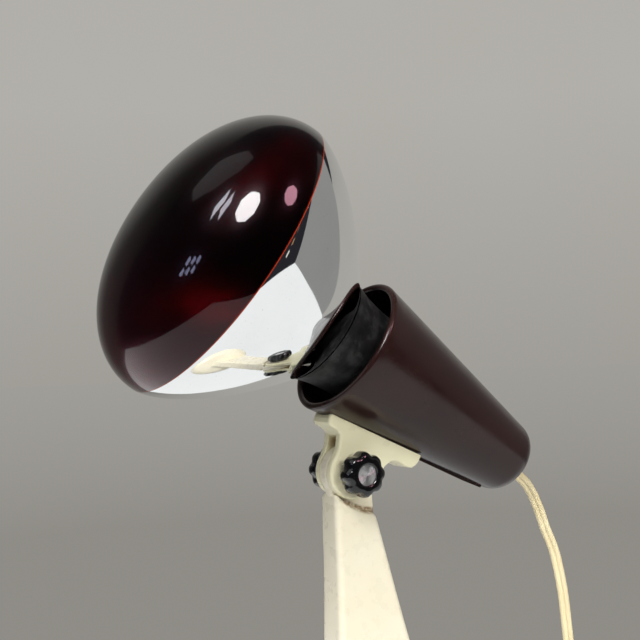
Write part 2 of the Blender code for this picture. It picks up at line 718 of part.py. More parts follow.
def make_arm_screws():
    for y, name in zip(ARM_SCREWS, ("arm_screw_front", "arm_screw_rear")):
        frame = Matrix.Translation((0.0, y, 0.0)) @ UPRIGHT
        cheese_screw(name, frame, 0.0038, 0.0066, 0.0385, 0.0043, 0.0020, (0.60, 0.58, 0.53))


# ---------------------------------------------------------------- cord, coil and plug


def make_cord():
    route = smooth_route(CORD_ROUTE, 0.0105)
    item = strand("cord_tube", route, CORD_WIDTH / 2, CORD_ROUTE[-1], 3)
    finish_strand(item, (0.90, 0.82, 0.58), 0.45)


def make_coil():
    bm = bmesh.new()
    rings = []
    for i in range(36):
        turn = 2 * math.pi * i / 36
        ring = []
        for k in range(10):
            angle = 2 * math.pi * k / 10
            reach = COIL_RADIUS + COIL_BUNDLE * math.cos(angle)
            x = COIL_CENTRE[0] + reach * math.cos(turn)
            y = COIL_CENTRE[1] + reach * math.sin(turn)
            ring.append(bm.verts.new((x, y, COIL_BUNDLE + COIL_BUNDLE * math.sin(angle))))
        rings.append(ring)
    skin(bm, rings, closed=True)
    item = to_object("cord_coil", bm, (*COIL_CENTRE, COIL_BUNDLE))
    finish(item, (0.90, 0.82, 0.58), 0.45)


def plug_frame():
    """Plug axes: +Y from the cord end to the pins, lying flat beside the coil."""
    place = Vector((COIL_CENTRE[0] + COIL_RADIUS + 0.0102, COIL_CENTRE[1] - 0.0134, 0.0065))
    return Matrix.Translation(place) @ Matrix.Rotation(math.pi, 4, "Z")


def make_plug_body():
    frame = plug_frame()
    bm = bmesh.new()
    stations = [(0.0, 0.0028, 0.0028), (0.0090, 0.0036, 0.0034), (0.0120, 0.0062, 0.0050)]
    stations += [(0.0160, 0.0110, 0.0062), (0.0340, 0.0165, 0.0065), (0.0360, 0.0160, 0.0060)]
    rings = []
    for y, half_x, half_z in stations:
        ring = []
        for i in range(24):
            angle = 2 * math.pi * i / 24
            c, s = math.cos(angle), math.sin(angle)
            x = half_x * math.copysign(abs(c) ** 0.6, c)
            z = half_z * math.copysign(abs(s) ** 0.6, s)
            ring.append(bm.verts.new(frame @ Vector((x, y, z))))
        rings.append(ring)
    skin(bm, rings, closed=False)
    bm.faces.new(rings[0])
    bm.faces.new(rings[-1])
    item = to_object("plug_body", bm, frame.translation)
    for side in (1, -1):
        cut(item, rod(0.0300, 0.0400, 0.0023, frame @ Matrix.Translation((side * 0.0095, 0.0, 0.0)), 16))
    finish(item, (0.88, 0.82, 0.62), 0.35)


def make_plug_pins():
    frame = plug_frame()
    for side, name in ((1, "plug_pin_a"), (-1, "plug_pin_b")):
        place = frame @ Matrix.Translation((side * 0.0095, 0.0, 0.0))
        profile = [(0.0303, 0.0), (0.0303, 0.0020), (0.0540, 0.0020), (0.0550, 0.0014), (0.0552, 0.0)]
        item = to_object(name, lathe(profile, place, 20), frame.translation)
        finish(item, (0.74, 0.66, 0.42), 0.25, 1.0)


def build():
    clear_objects()
    make_bulb_front()
    make_bulb_reflector()
    make_bulb_cap()
    make_bulb_insulator()
    make_bulb_tip()
    make_bulb_stem()
    make_filament()
    make_filament_leads()
    make_heat_collar()
    make_lampholder_body()
    make_lampholder_shell()
    make_lampholder_contact()
    make_holder_bracket()
    make_holder_screws()
    make_terminals()
    make_wires()
    make_cord_clamp()
    make_cord_tail()
    make_cord_grommet()
    make_housing_shell()
    make_saddle()
    make_saddle_screws()
    make_pivot_bolt()
    make_friction_washers()
    for frame, side in ((NEAR, "near"), (FAR, "far")):
        make_knob(frame, side)
        make_knob_fittings(frame, side)
    make_arm()
    make_base_shell()
    make_base_weight()
    make_base_plate()
    make_base_pad()
    make_arm_screws()
    make_cord()
    make_coil()
    make_plug_body()
    make_plug_pins()


build()
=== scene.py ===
"""Looks of the table-top infrared lamp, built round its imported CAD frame.

Metres, +Z up. The lamp faces -Y and tilts about the X axis; its base rests on the floor at Z = 0.
"""

import json
import math

import bmesh
import bpy
from mathutils import Matrix, Vector

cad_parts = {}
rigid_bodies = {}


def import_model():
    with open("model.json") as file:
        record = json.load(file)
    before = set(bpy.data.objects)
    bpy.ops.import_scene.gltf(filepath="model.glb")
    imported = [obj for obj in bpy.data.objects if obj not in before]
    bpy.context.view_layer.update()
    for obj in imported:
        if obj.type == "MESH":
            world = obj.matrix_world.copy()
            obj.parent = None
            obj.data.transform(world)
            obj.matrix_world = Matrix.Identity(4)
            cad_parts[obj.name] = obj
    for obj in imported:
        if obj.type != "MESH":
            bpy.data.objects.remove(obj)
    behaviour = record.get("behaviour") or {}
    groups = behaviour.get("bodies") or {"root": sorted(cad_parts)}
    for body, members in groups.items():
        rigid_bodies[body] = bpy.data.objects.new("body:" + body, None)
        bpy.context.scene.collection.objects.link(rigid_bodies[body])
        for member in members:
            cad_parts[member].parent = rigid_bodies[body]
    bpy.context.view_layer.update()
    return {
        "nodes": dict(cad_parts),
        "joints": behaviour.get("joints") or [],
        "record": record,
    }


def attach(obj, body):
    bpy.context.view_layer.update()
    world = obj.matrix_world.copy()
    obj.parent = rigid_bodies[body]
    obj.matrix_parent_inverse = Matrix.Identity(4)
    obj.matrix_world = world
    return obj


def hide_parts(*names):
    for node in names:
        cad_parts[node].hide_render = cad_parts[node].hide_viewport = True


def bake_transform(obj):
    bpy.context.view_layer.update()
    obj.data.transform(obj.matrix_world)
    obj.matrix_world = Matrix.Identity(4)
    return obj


for leftover in list(bpy.data.objects):
    bpy.data.objects.remove(leftover)

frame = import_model()

# ---------------- axes, from the frame's own joints

JOINTS = {joint["name"]: joint for joint in frame["joints"]}
PIVOT = Vector(JOINTS["head_tilt"]["pos_m"])
REARWARDS = -Vector(JOINTS["bulb_turn"]["axis"]).normalized()
UPWARDS = Vector((1.0, 0.0, 0.0)).cross(REARWARDS)
TURN = Matrix((Vector((1.0, 0.0, 0.0)), REARWARDS, UPWARDS)).transposed().to_4x4()
LAMP = Matrix.Translation(JOINTS["bulb_turn"]["pos_m"]) @ TURN
HEAD = Matrix.Translation(PIVOT) @ TURN
NEAR = Matrix.Translation(PIVOT) @ Matrix.Rotation(-math.pi / 2, 4, "Z")
FAR = Matrix.Translation(PIVOT) @ Matrix.Rotation(math.pi / 2, 4, "Z")
UPRIGHT = Matrix.Rotation(math.pi / 2, 4, "X")
UP = Vector((0.0, 0.0, 1.0))
AXIS_RISE = (Vector(JOINTS["bulb_turn"]["pos_m"]) - PIVOT).length

# Lamp pieces: distances along the lamp axis, rearwards from the tilt axis, and radii.
BULB_RADIUS = 0.0625
BULB_SEAM = -0.0948
DOME_DEPTH = 0.0374
DOME_POWER = 2.2
GLASS = 0.0013
COLLAR_RIM = -0.0411
NECK_RADIUS = 0.024
SHELL_MOUTH = -0.0286
SHELL_MOUTH_RADIUS = 0.0311
SHELL_END = 0.0766
SHELL_END_RADIUS = 0.017
SHELL_END_ROUND = 0.01
SHELL_WALL = 0.0032
RIB_FRONT = 0.0275
RIB_BACK = 0.066
RIB_HALF_WIDTH = 0.0004
CORD_HOLE_RADIUS = 0.0042
CORD_DROP = 0.003
GAP = 0.0003

# Clevis, knobs and arm.
LUG_HALF_WIDTH = 0.007
EAR_RADIUS = 0.0112
SLOT_HALF = 0.0033
TONGUE_RADIUS = 0.0113
TONGUE_HALF = 0.0023
BOLT_HOLE = 0.0028
KNOB_INNER = 0.0086
KNOB_FACE = 0.0182
KNOB_RADIUS = 0.0095
KNOB_PLAIN = 0.0055  # the flutes die out at this radius
KNOB_LOBES = 8
KNOB_FLUTE = 0.0011
DISC_RADIUS = 0.0047
ARM_FOOT = 0.026
ARM_SCREWS = (-0.006, 0.028)
SHOULDER_CENTRE = (0.01484, 0.01503)
SHOULDER_RADIUS = 0.0327

# Base.
BASE_HALF_X = 0.056
BASE_HALF_Y = 0.078
BASE_CENTRE_Y = -0.014
BASE_TOP = 0.0257

# Cord: flat twin flex, hanging to the floor and wound into a coil behind the lamp.
CORD_WIDTH = 0.005
CORD_THICK = 0.0027
CORD_TURN = math.radians(42)  # how far the flat cord is twisted as it hangs
COIL_CENTRE = Vector((0.0347, 0.168, 0.0))
COIL_RADIUS = 0.029
COIL_TURNS = 8.5
COIL_STEPS = 40  # points to a turn
PLUG_OUT = COIL_RADIUS + 0.0102
CORD_AXES = LAMP @ Matrix.Translation((0.0, 0.0, -CORD_DROP))
CORD_EXIT = LAMP @ Vector((0.0, 0.0784, -CORD_DROP))
HANG = (
    (0.0, 0.08898, 0.16984), (0.0, 0.0929, 0.16725), (0.0, 0.0968, 0.1637),
    (0.0, 0.1004, 0.1585), (0.0, 0.1031, 0.153), (0.0, 0.1055, 0.147),
    (0.0, 0.1077, 0.1409), (0.0, 0.1108, 0.1343), (0.0, 0.1136, 0.126),
    (0.0, 0.1169, 0.109), (0.0, 0.119, 0.086), (0.0, 0.1208, 0.06),
    (0.0, 0.1233, 0.037), (0.0, 0.1296, 0.017), (-0.0006, 0.1403, 0.0056),
    (-0.002, 0.153, 0.0026), (-0.003, 0.168, 0.00255),
)

# Camera, from the tilt axis, and the axes of its picture.
CAMERA_LENS = 55.93
CAMERA_OFFSET = Vector((0.3639, -0.2108, 0.0528))
CAMERA_RIGHT = Vector((0.48236, 0.87521, -0.03652))
CAMERA_UP = Vector((0.04123, 0.01896, 0.99897))

# Studio: a white table top, a backdrop square to the view, and the greys that the paper shows.
TABLE_RIGHT = 0.5
TABLE_FRONT = -0.62
TABLE_BACK = 0.63
TABLE_DEPTH = 0.71
BACKDROP_LOW = (0.276, 0.264, 0.242)
BACKDROP_HIGH = (0.445, 0.434, 0.404)
BACKDROP_RISE = 0.236
FLOOR_RADIUS = 8.0
ROOM = (0.02, 0.02, 0.024)

# ---------------- camera


def make_camera():
    """Level camera in front of the lamp and to its right, close enough to show perspective."""
    data = bpy.data.cameras.new("camera")
    data.sensor_width = 36.0
    data.lens = CAMERA_LENS
    camera = placed("camera", data, PIVOT + CAMERA_OFFSET)
    back = CAMERA_RIGHT.cross(CAMERA_UP)
    camera.rotation_euler = Matrix((CAMERA_RIGHT, CAMERA_UP, back)).transposed().to_euler()
    bpy.context.scene.camera = camera


# ---------------- materials


def new_material(name, colour, roughness, metallic=0.0, **sockets):
    """A Principled material; its constants stay on the shader's own sockets."""
    made = bpy.data.materials.new(name)
    made.use_nodes = True
    shader = shader_of(made)
    shader.inputs["Base Color"].default_value = (*colour, 1.0)
    shader.inputs["Roughness"].default_value = roughness
    shader.inputs["Metallic"].default_value = metallic
    for socket, value in sockets.items():
        shader.inputs[socket.replace("_", " ")].default_value = value
    return made


def shader_of(paint):
    """The surface's shader: Principled, or Emission on a glowing stage surface."""
    nodes = paint.node_tree.nodes
    return nodes.get("Principled BSDF") or nodes["Emission"]


def feed(paint, output, socket):
    """Links a node's output to one of the shader's sockets."""
    paint.node_tree.links.new(output, shader_of(paint).inputs[socket])


def add(paint, kind, inputs=None, **settings):
    """Adds a node to a material or a world, sets its properties, and links or sets its inputs."""
    node = paint.node_tree.nodes.new(kind)
    for key, value in settings.items():
        setattr(node, key, value)
    for key, value in (inputs or {}).items():
        if isinstance(value, bpy.types.NodeSocket):
            paint.node_tree.links.new(value, node.inputs[key])
        else:
            node.inputs[key].default_value = value
    return node


def mixed(paint, factor, first, second):
    """Mixes two colours or colour outputs, and returns the mix's output."""
    node = add(paint, "ShaderNodeMix", {"Factor": factor}, data_type="RGBA")
    colours = [socket for socket in node.inputs if socket.type == "RGBA"]
    for socket, value in zip(colours, (first, second)):
        if isinstance(value, bpy.types.NodeSocket):
            paint.node_tree.links.new(value, socket)
        else:
            socket.default_value = (*value, 1.0)
    return next(socket for socket in node.outputs if socket.type == "RGBA")


def vector_math(paint, operation, first, second=(0.0, 0.0, 0.0)):
    """One step of vector arithmetic; the steps that measure give a single value."""
    node = add(paint, "ShaderNodeVectorMath", {0: first, 1: tuple(second)}, operation=operation)
    return node.outputs["Value" if operation in ("DISTANCE", "DOT_PRODUCT", "LENGTH") else "Vector"]


def place_in(paint):
    return add(paint, "ShaderNodeTexCoord").outputs["Object"]


def stretched(paint, scale, turn=(0.0, 0.0, 0.0)):
    """Object coordinates scaled differently along each axis, for streaks."""
    inputs = {"Vector": place_in(paint), "Scale": scale, "Rotation": turn}
    return add(paint, "ShaderNodeMapping", inputs).outputs["Vector"]


def noise(paint, scale, detail=3.0, rough=0.55, where=None):
    """Noise with about scale features to the metre."""
    inputs = {"Vector": where or place_in(paint), "Scale": scale, "Detail": detail, "Roughness": rough}
    return add(paint, "ShaderNodeTexNoise", inputs).outputs["Fac"]


def span(paint, value, low, high, to_low=0.0, to_high=1.0, **settings):
    inputs = {"Value": value, "From Min": low, "From Max": high, "To Min": to_low, "To Max": to_high}
    return add(paint, "ShaderNodeMapRange", inputs, **settings).outputs["Result"]


def ramp(paint, value, low, high, to_low=0.0, to_high=1.0):
    return span(paint, value, low, high, to_low, to_high, interpolation_type="SMOOTHSTEP")


def times(paint, first, *others):
    for other in others:
        inputs = {0: first, 1: other}
        first = add(paint, "ShaderNodeMath", inputs, operation="MULTIPLY").outputs["Value"]
    return first


def tint(paint, mask, colour):
    """Mixes a colour over what the shader has now, where the mask is 1."""
    socket = shader_of(paint).inputs["Base Color"]
    now = socket.links[0].from_socket if socket.links else socket.default_value[:3]
    feed(paint, mixed(paint, mask, now, colour), "Base Color")


def blotch(paint, colour, scale, detail, low, high, most=1.0, rough=0.55, where=None):
    """Tints the surface where a noise is above low, and by most where it is above high."""
    pattern = noise(paint, scale, detail, rough, where)
    tint(paint, ramp(paint, pattern, low, high, 0.0, most), colour)


def vary_roughness(paint, low, high, scale, detail=4.0, rough=0.55):
    """Lets the roughness wander between two values."""
    feed(paint, ramp(paint, noise(paint, scale, detail, rough), 0.3, 0.7, low, high), "Roughness")


def bump(paint, height, strength, distance):
    """Adds one layer of bump under any that is there already."""
    socket = shader_of(paint).inputs["Normal"]
    node = add(paint, "ShaderNodeBump", {"Height": height, "Strength": strength, "Distance": distance})
    if socket.links:
        paint.node_tree.links.new(socket.links[0].from_socket, node.inputs["Normal"])
    feed(paint, node.outputs["Normal"], "Normal")


def grain(paint, scale, detail, strength, distance, rough=0.55, where=None):
    """Bump from a noise."""
    bump(paint, noise(paint, scale, detail, rough, where), strength, distance)


def along_axis(paint, point, direction):
    """Signed distance of the surface along a direction from a point."""
    offset = vector_math(paint, "SUBTRACT", place_in(paint), point)
    return vector_math(paint, "DOT_PRODUCT", offset, direction)


def off_axis(paint, point):
    """Distance of the surface from a line along X through a point."""
    offset = vector_math(paint, "SUBTRACT", place_in(paint), point)
    return vector_math(paint, "LENGTH", vector_math(paint, "MULTIPLY", offset, (0.0, 1.0, 1.0)))


def facing_up(paint):
    normal = add(paint, "ShaderNodeNewGeometry").outputs["Normal"]
    return ramp(paint, vector_math(paint, "DOT_PRODUCT", normal, UP), 0.2, 0.9)


def dust(paint, colour, amount, scale):
    """Fine specks and a thin veil where the surface faces up."""
    specks = ramp(paint, noise(paint, scale, 2.0, 0.6), 0.6, 0.72)
    veil = ramp(paint, noise(paint, scale / 14, 4.0), 0.35, 0.75, 0.15, 0.6)
    tint(paint, times(paint, specks, facing_up(paint), amount), colour)
    tint(paint, times(paint, veil, facing_up(paint), amount * 0.4), colour)


def moulded_plastic(name, colour, roughness, yellowed):
    """Aged light-coloured moulding: slow yellowing, a few specks and a waxy sheen."""
    made = new_material(name, colour, roughness, Coat_Weight=0.25, Coat_Roughness=0.12, IOR=1.5)
    blotch(made, yellowed, 28.0, 4.0, 0.35, 0.75, 0.3)
    blotch(made, [c * 0.55 for c in yellowed], 2600.0, 2.0, 0.69, 0.76, 0.16)
    vary_roughness(made, roughness * 0.75, roughness * 1.35, 160.0)
    grain(made, 1500.0, 3.0, 0.08, 0.0001)
    grain(made, 90.0, 2.0, 0.1, 0.0005)
    return made


def ivory_moulding():
    """Aged ivory urea moulding, with a ragged brown line of painted shade in the shoulder under the clevis.
    """
    made = moulded_plastic("ivory_moulding", (0.9, 0.85, 0.68), 0.3, (0.82, 0.71, 0.45))
    # Painted shade: a ragged brown line in the shoulder recess under the clevis ears, only below the tilt
    # axis.
    reach = off_axis(made, PIVOT + Vector((0.0, *SHOULDER_CENTRE)))
    inner = ramp(made, reach, SHOULDER_RADIUS - 0.0021, SHOULDER_RADIUS - 0.0009)
    outer = ramp(made, reach, SHOULDER_RADIUS + 0.0003, SHOULDER_RADIUS + 0.0017, 1.0, 0.0)
    below = ramp(made, along_axis(made, PIVOT, (0.0, 0.25, -0.97)), 0.0075, 0.0115)
    ragged = ramp(made, noise(made, 300.0, 5.0, 0.65), 0.36, 0.6, 0.15, 1.0)
    tint(made, times(made, inner, outer, below, ragged), (0.27, 0.155, 0.065))
    return made


def saddle_moulding():
    """Cream-yellow moulding with brown painted shade in the slot between the ears."""
    made = moulded_plastic("saddle_moulding", (0.88, 0.85, 0.6), 0.34, (0.78, 0.69, 0.38))
    # Painted shade: a ragged brown patch in the slot between the ears.
    reach = vector_math(made, "DISTANCE", place_in(made), HEAD @ Vector((0.0, -0.008, 0.0098)))
    slot = ramp(made, reach, 0.0036, 0.0062, 1.0, 0.0)
    ragged = ramp(made, noise(made, 420.0, 5.0, 0.65), 0.3, 0.6, 0.4, 1.0)
    tint(made, times(made, slot, ragged, 0.9), (0.4, 0.27, 0.12))
    return made


def brown_bakelite():
    """Polished maroon-brown phenolic with faint flow marks, fine scratches and dust."""
    made = new_material("brown_bakelite", (0.0185, 0.0064, 0.0058), 0.22, IOR=1.4)
    flow = stretched(made, (1.0, 0.35, 1.0))
    blotch(made, (0.026, 0.0095, 0.0078), 60.0, 5.0, 0.35, 0.7, 0.6, 0.6, flow)
    blotch(made, (0.06, 0.036, 0.028), 1800.0, 2.0, 0.7, 0.78, 0.3)
    dust(made, (0.2, 0.18, 0.16), 0.16, 1500.0)
    vary_roughness(made, 0.16, 0.27, 120.0, 5.0, 0.65)
    scratches = stretched(made, (22.0, 1.0, 22.0), (-0.58, 0.0, 0.0))
    grain(made, 240.0, 2.0, 0.025, 0.00005, 0.5, scratches)
    grain(made, 55.0, 2.0, 0.08, 0.0008)
    grain(made, 2200.0, 2.0, 0.03, 0.00006)
    return made


def black_collar():
    """Matt black stove enamel, smeared with grey dust."""
    made = new_material("black_collar", (0.009, 0.0095, 0.01), 0.52, IOR=1.42)
    blotch(made, (0.052, 0.054, 0.054), 110.0, 6.0, 0.44, 0.7, 0.75, 0.7)
    dust(made, (0.15, 0.15, 0.145), 0.5, 1300.0)
    vary_roughness(made, 0.42, 0.68, 200.0)
    grain(made, 1200.0, 4.0, 0.22, 0.00016, 0.6)
    return made


def ruby_glass():
    """Ruby-stained glass, satin inside and polished outside; painted light makes it a paler maroon towards
    the bottom, and a narrow orange band of painted glow runs along the seam.
    """
    polish = {"Coat_Weight": 1.0, "Coat_Roughness": 0.006, "Coat_IOR": 1.36}
    made = new_material(
        "ruby_glass", (0.115, 0.0025, 0.01), 0.22, Transmission_Weight=1.0, IOR=1.5,
        Specular_Tint=(0.06, 0.03, 0.04, 1.0), **polish,
    )
    seam = LAMP @ Vector((0.0, BULB_SEAM, 0.0))
    from_seam = along_axis(made, seam, -REARWARDS)
    blotch(made, (0.09, 0.002, 0.008), 45.0, 3.0, 0.3, 0.8, 0.5)
    # Painted light: a paler maroon towards the bottom of the dome, where the table lights it from below.
    tint(made, ramp(made, along_axis(made, seam, -UPWARDS), 0.006, 0.046), (0.4, 0.017, 0.075))
    # Painted glow: a narrow orange band along the seam.
    tint(made, ramp(made, from_seam, 0.0002, 0.0008, 1.0, 0.0), (0.4, 0.04, 0.012))
    feed(made, ramp(made, from_seam, 0.0001, 0.0005), "Transmission Weight")
    vary_roughness(made, 0.19, 0.25, 75.0, 5.0, 0.6)
    grain(made, 30.0, 1.0, 0.06, 0.0006)
    return made


def silvered_glass():
    """Aluminised glass bowl: a bright mirror with the slow waviness of blown glass."""
    made = new_material("silvered_glass", (0.9, 0.91, 0.91), 0.03, 1.0, Coat_Weight=0.6, Coat_Roughness=0.01)
    blotch(made, (0.76, 0.76, 0.77), 36.0, 4.0, 0.35, 0.8, 0.35)
    blotch(made, (0.3, 0.29, 0.28), 1500.0, 2.0, 0.7, 0.76, 0.5)
    vary_roughness(made, 0.018, 0.055, 90.0, 5.0)
    grain(made, 38.0, 1.0, 0.16, 0.0009)
    return made


def knob_black():
    """Glossy black phenolic with a little dust."""
    colour = (0.0035, 0.0035, 0.004)
    made = new_material("knob_black", colour, 0.12, Coat_Weight=0.25, Coat_Roughness=0.05, IOR=1.48)
    blotch(made, (0.045, 0.044, 0.042), 1700.0, 3.0, 0.66, 0.78, 0.35)
    dust(made, (0.2, 0.19, 0.175), 0.16, 2200.0)
    vary_roughness(made, 0.09, 0.2, 500.0)
    grain(made, 1100.0, 3.0, 0.05, 0.00008)
    return made


def spun_metal(name, colour, rings, roughness):
    """Turned metal face; rings is the number of tool marks to the metre of radius."""
    made = new_material(name, colour, roughness, 1.0, Anisotropic=0.8)
    tangent = add(made, "ShaderNodeTangent", direction_type="RADIAL", axis="Z")
    feed(made, tangent.outputs["Tangent"], "Tangent")
    inputs = {"Vector": place_in(made), "Scale": rings, "Distortion": 0.2, "Detail": 2.0, "Detail Scale": 1.5}
    marks = add(made, "ShaderNodeTexWave", inputs, wave_type="RINGS", rings_direction="Z")
    bump(made, marks.outputs["Fac"], 0.12, 0.00002)
    blotch(made, [c * 0.7 for c in colour], 700.0, 4.0, 0.5, 0.8, 0.12)
    vary_roughness(made, roughness * 0.85, roughness * 1.3, 900.0)
    return made


def plated(name, colour, roughness, tarnish, streak=(1.0, 1.0, 1.0)):
    """Plated or drawn metal with light tarnish and fine handling marks."""
    made = new_material(name, colour, roughness, 1.0)
    blotch(made, tarnish, 260.0, 5.0, 0.42, 0.72, 0.7, 0.65)
    blotch(made, [c * 0.4 for c in tarnish], 1900.0, 2.0, 0.64, 0.74, 0.6)
    vary_roughness(made, roughness * 0.75, roughness * 1.5, 420.0)
    grain(made, 900.0, 3.0, 0.18, 0.00008, 0.5, stretched(made, streak))
    return made


def rough_solid(name, colour, other, roughness, scale, depth=0.0002):
    """Cast, pressed or rubbery surface with an even grain."""
    made = new_material(name, colour, roughness)
    blotch(made, other, scale / 12, 5.0, 0.35, 0.7, 0.8, 0.6)
    blotch(made, [c * 0.5 for c in colour], scale * 1.5, 2.0, 0.62, 0.74, 0.5)
    vary_roughness(made, roughness * 0.85, min(1.0, roughness * 1.15), scale / 4)
    grain(made, scale, 4.0, 0.35, depth, 0.6)
    return made


def cord_sheath():
    """Aged cream sheath, slightly soiled along its length."""
    made = new_material("cord_sheath", (0.9, 0.79, 0.5), 0.36, Coat_Weight=0.2, Coat_Roughness=0.18)
    blotch(made, (0.8, 0.62, 0.3), 70.0, 5.0, 0.4, 0.75, 0.4, 0.6)
    blotch(made, (0.44, 0.32, 0.16), 1300.0, 3.0, 0.66, 0.78, 0.35)
    vary_roughness(made, 0.3, 0.5, 260.0)
    grain(made, 1400.0, 3.0, 0.1, 0.0001)
    return made


def glazed(name, colour, speck):
    """Glazed or glassy insulator with fine specks."""
    made = new_material(name, colour, 0.16, Coat_Weight=0.6, Coat_Roughness=0.05)
    blotch(made, speck, 120.0, 4.0, 0.4, 0.75, 0.4)
    blotch(made, [c * 0.5 for c in speck], 1600.0, 2.0, 0.66, 0.74, 0.6)
    vary_roughness(made, 0.1, 0.26, 300.0)
    grain(made, 240.0, 3.0, 0.1, 0.0002)
    return made


def clear_glass():
    """Glass of the bulb's stem, a little clouded."""
    made = new_material("clear_glass", (0.82, 0.86, 0.84), 0.03, Transmission_Weight=0.9, IOR=1.5)
    blotch(made, (0.6, 0.62, 0.6), 200.0, 4.0, 0.4, 0.75, 0.5)
    vary_roughness(made, 0.02, 0.1, 300.0)
    grain(made, 120.0, 2.0, 0.1, 0.0003)
    return made


def make_materials():
    """One material for each slot in the record, by name."""
    made = [
        ivory_moulding(),
        saddle_moulding(),
        moulded_plastic("plug_moulding", (0.82, 0.75, 0.5), 0.36, (0.66, 0.54, 0.29)),
        brown_bakelite(),
        black_collar(),
        ruby_glass(),
        silvered_glass(),
        knob_black(),
        spun_metal("spun_aluminium", (0.84, 0.84, 0.83), 1400.0, 0.36),
        cord_sheath(),
        clear_glass(),
        glazed("porcelain", (0.8, 0.79, 0.73), (0.62, 0.58, 0.48)),
        glazed("cap_insulator", (0.02, 0.02, 0.026), (0.05, 0.045, 0.05)),
        rough_solid("cast_iron", (0.06, 0.058, 0.056), (0.11, 0.075, 0.055), 0.72, 900.0, 0.0005),
        rough_solid("base_pad", (0.07, 0.08, 0.068), (0.1, 0.105, 0.09), 0.92, 1800.0, 0.0004),
        rough_solid("friction_fibre", (0.24, 0.12, 0.055), (0.33, 0.19, 0.1), 0.8, 1500.0),
        rough_solid("clamp_moulding", (0.045, 0.04, 0.038), (0.07, 0.06, 0.055), 0.5, 1400.0),
        rough_solid("grommet_rubber", (0.022, 0.02, 0.02), (0.05, 0.046, 0.043), 0.66, 1300.0),
        rough_solid("wire_insulation", (0.7, 0.62, 0.42), (0.55, 0.44, 0.26), 0.55, 1600.0, 0.0001),
        plated("screw_steel", (0.62, 0.59, 0.53), 0.32, (0.36, 0.3, 0.22)),
        plated("base_steel", (0.5, 0.5, 0.49), 0.38, (0.33, 0.29, 0.25), (1.0, 14.0, 1.0)),
        plated("holder_steel", (0.58, 0.58, 0.56), 0.34, (0.38, 0.34, 0.3)),
        plated("washer_steel", (0.62, 0.62, 0.6), 0.3, (0.42, 0.38, 0.32)),
        plated("lead_wire", (0.6, 0.58, 0.54), 0.34, (0.44, 0.38, 0.32)),
        plated("tungsten", (0.36, 0.35, 0.34), 0.42, (0.24, 0.23, 0.24), (1.0, 1.0, 9.0)),
        plated("solder", (0.64, 0.63, 0.6), 0.36, (0.42, 0.4, 0.36)),
        plated("contact_brass", (0.78, 0.6, 0.28), 0.26, (0.48, 0.31, 0.13)),
        plated("holder_brass", (0.74, 0.56, 0.25), 0.3, (0.45, 0.28, 0.12)),
        plated("cap_brass", (0.74, 0.69, 0.56), 0.28, (0.5, 0.42, 0.28)),
    ]
    # Blender adds a number to a name that the frame's own materials have taken.
    return {material.name.split(".")[0]: material for material in made}


# ---------------- meshes


def placed(name, data, origin=(0.0, 0.0, 0.0)):
    """Adds an object with the given data to the scene."""
    item = bpy.data.objects.new(name, data)
    item.location = origin
    bpy.context.scene.collection.objects.link(item)
    return item


def as_object(name, bm, origin=(0.0, 0.0, 0.0)):
    bmesh.ops.recalc_face_normals(bm, faces=bm.faces)
    mesh = bpy.data.meshes.new(name)
    bm.to_mesh(mesh)
    bm.free()
    return placed(name, mesh, origin)


def finish_piece(item, slot, body, *nodes, sharp=40.0):
    """Gives a mesh its material, its body and the CAD nodes that it stands for."""
    item.data.materials.clear()
    item.data.materials.append(MATERIALS[slot])
    for face in item.data.polygons:
        face.use_smooth = True
    item.data.set_sharp_from_angle(angle=math.radians(sharp))
    if body:
        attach(item, body)
    if nodes:
        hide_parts(*nodes)
    return item


def angles(count):
    return [2 * math.pi * i / count for i in range(count)]


def loft(sections, capped=True, closed=False):
    """Bridges rings of points; a ring of one point is a pole, and closed joins the last to the first."""
    bm = bmesh.new()
    rings = [[bm.verts.new(point) for point in section] for section in sections]
    pairs = list(zip(rings, rings[1:]))
    if closed:
        pairs.append((rings[-1], rings[0]))
    for first, second in pairs:
        count = max(len(first), len(second))
        for i in range(count):
            j = (i + 1) % count
            if len(first) == 1:
                bm.faces.new((first[0], second[i], second[j]))
            elif len(second) == 1:
                bm.faces.new((first[i], second[0], first[j]))
            else:
                bm.faces.new((first[i], second[i], second[j], first[j]))
    if capped:
        bm.faces.new(rings[0])
        bm.faces.new(rings[-1])
    return bm


def lathe(profile, axes, segments=128, closed=False, radius_at=None):
    """Turns (along, radius) points about the Y axis of axes."""
    turns = angles(segments)
    rings = []
    for along, radius in profile:
        ring = []
        for angle in turns if radius > 1e-9 else turns[:1]:
            reach = radius_at(angle, radius) if radius_at else radius
            ring.append(axes @ Vector((reach * math.cos(angle), along, reach * math.sin(angle))))
        rings.append(ring)
    return loft(rings, capped=False, closed=closed)


def filleted(points, steps=5, closed=False):
    """Rounds each corner given as (a, b, radius) with a short curve; a bare (a, b) stays sharp."""
    made = []
    count = len(points)
    for i, point in enumerate(points):
        here = Vector(point[:2])
        radius = point[2] if len(point) > 2 else 0.0
        if not radius or (not closed and i in (0, count - 1)):
            made.append((here.x, here.y))
            continue
        before = Vector(points[i - 1][:2]) - here
        after = Vector(points[(i + 1) % count][:2]) - here
        reach = min(radius, before.length * 0.48, after.length * 0.48)
        first = here + before.normalized() * reach
        last = here + after.normalized() * reach
        for k in range(steps + 1):
            t = k / steps
            spot = first * (1 - t) ** 2 + here * 2 * t * (1 - t) + last * t**2
            made.append((spot.x, spot.y))
    return made


def eased(points, count):
    """Catmull-Rom curve through points, count steps between each two."""
    knots = [Vector(p) for p in points]
    knots = [2 * knots[0] - knots[1]] + knots + [2 * knots[-1] - knots[-2]]
    made = []
    for i in range(1, len(knots) - 2):
        a, b, c, d = knots[i - 1 : i + 3]
        for k in range(count):
            t = k / count
            even = (-a + c) * t + (2 * a - 5 * b + 4 * c - d) * t**2 + (-a + 3 * b - 3 * c + d) * t**3
            made.append(b + 0.5 * even)
    made.append(knots[-2])
    return made


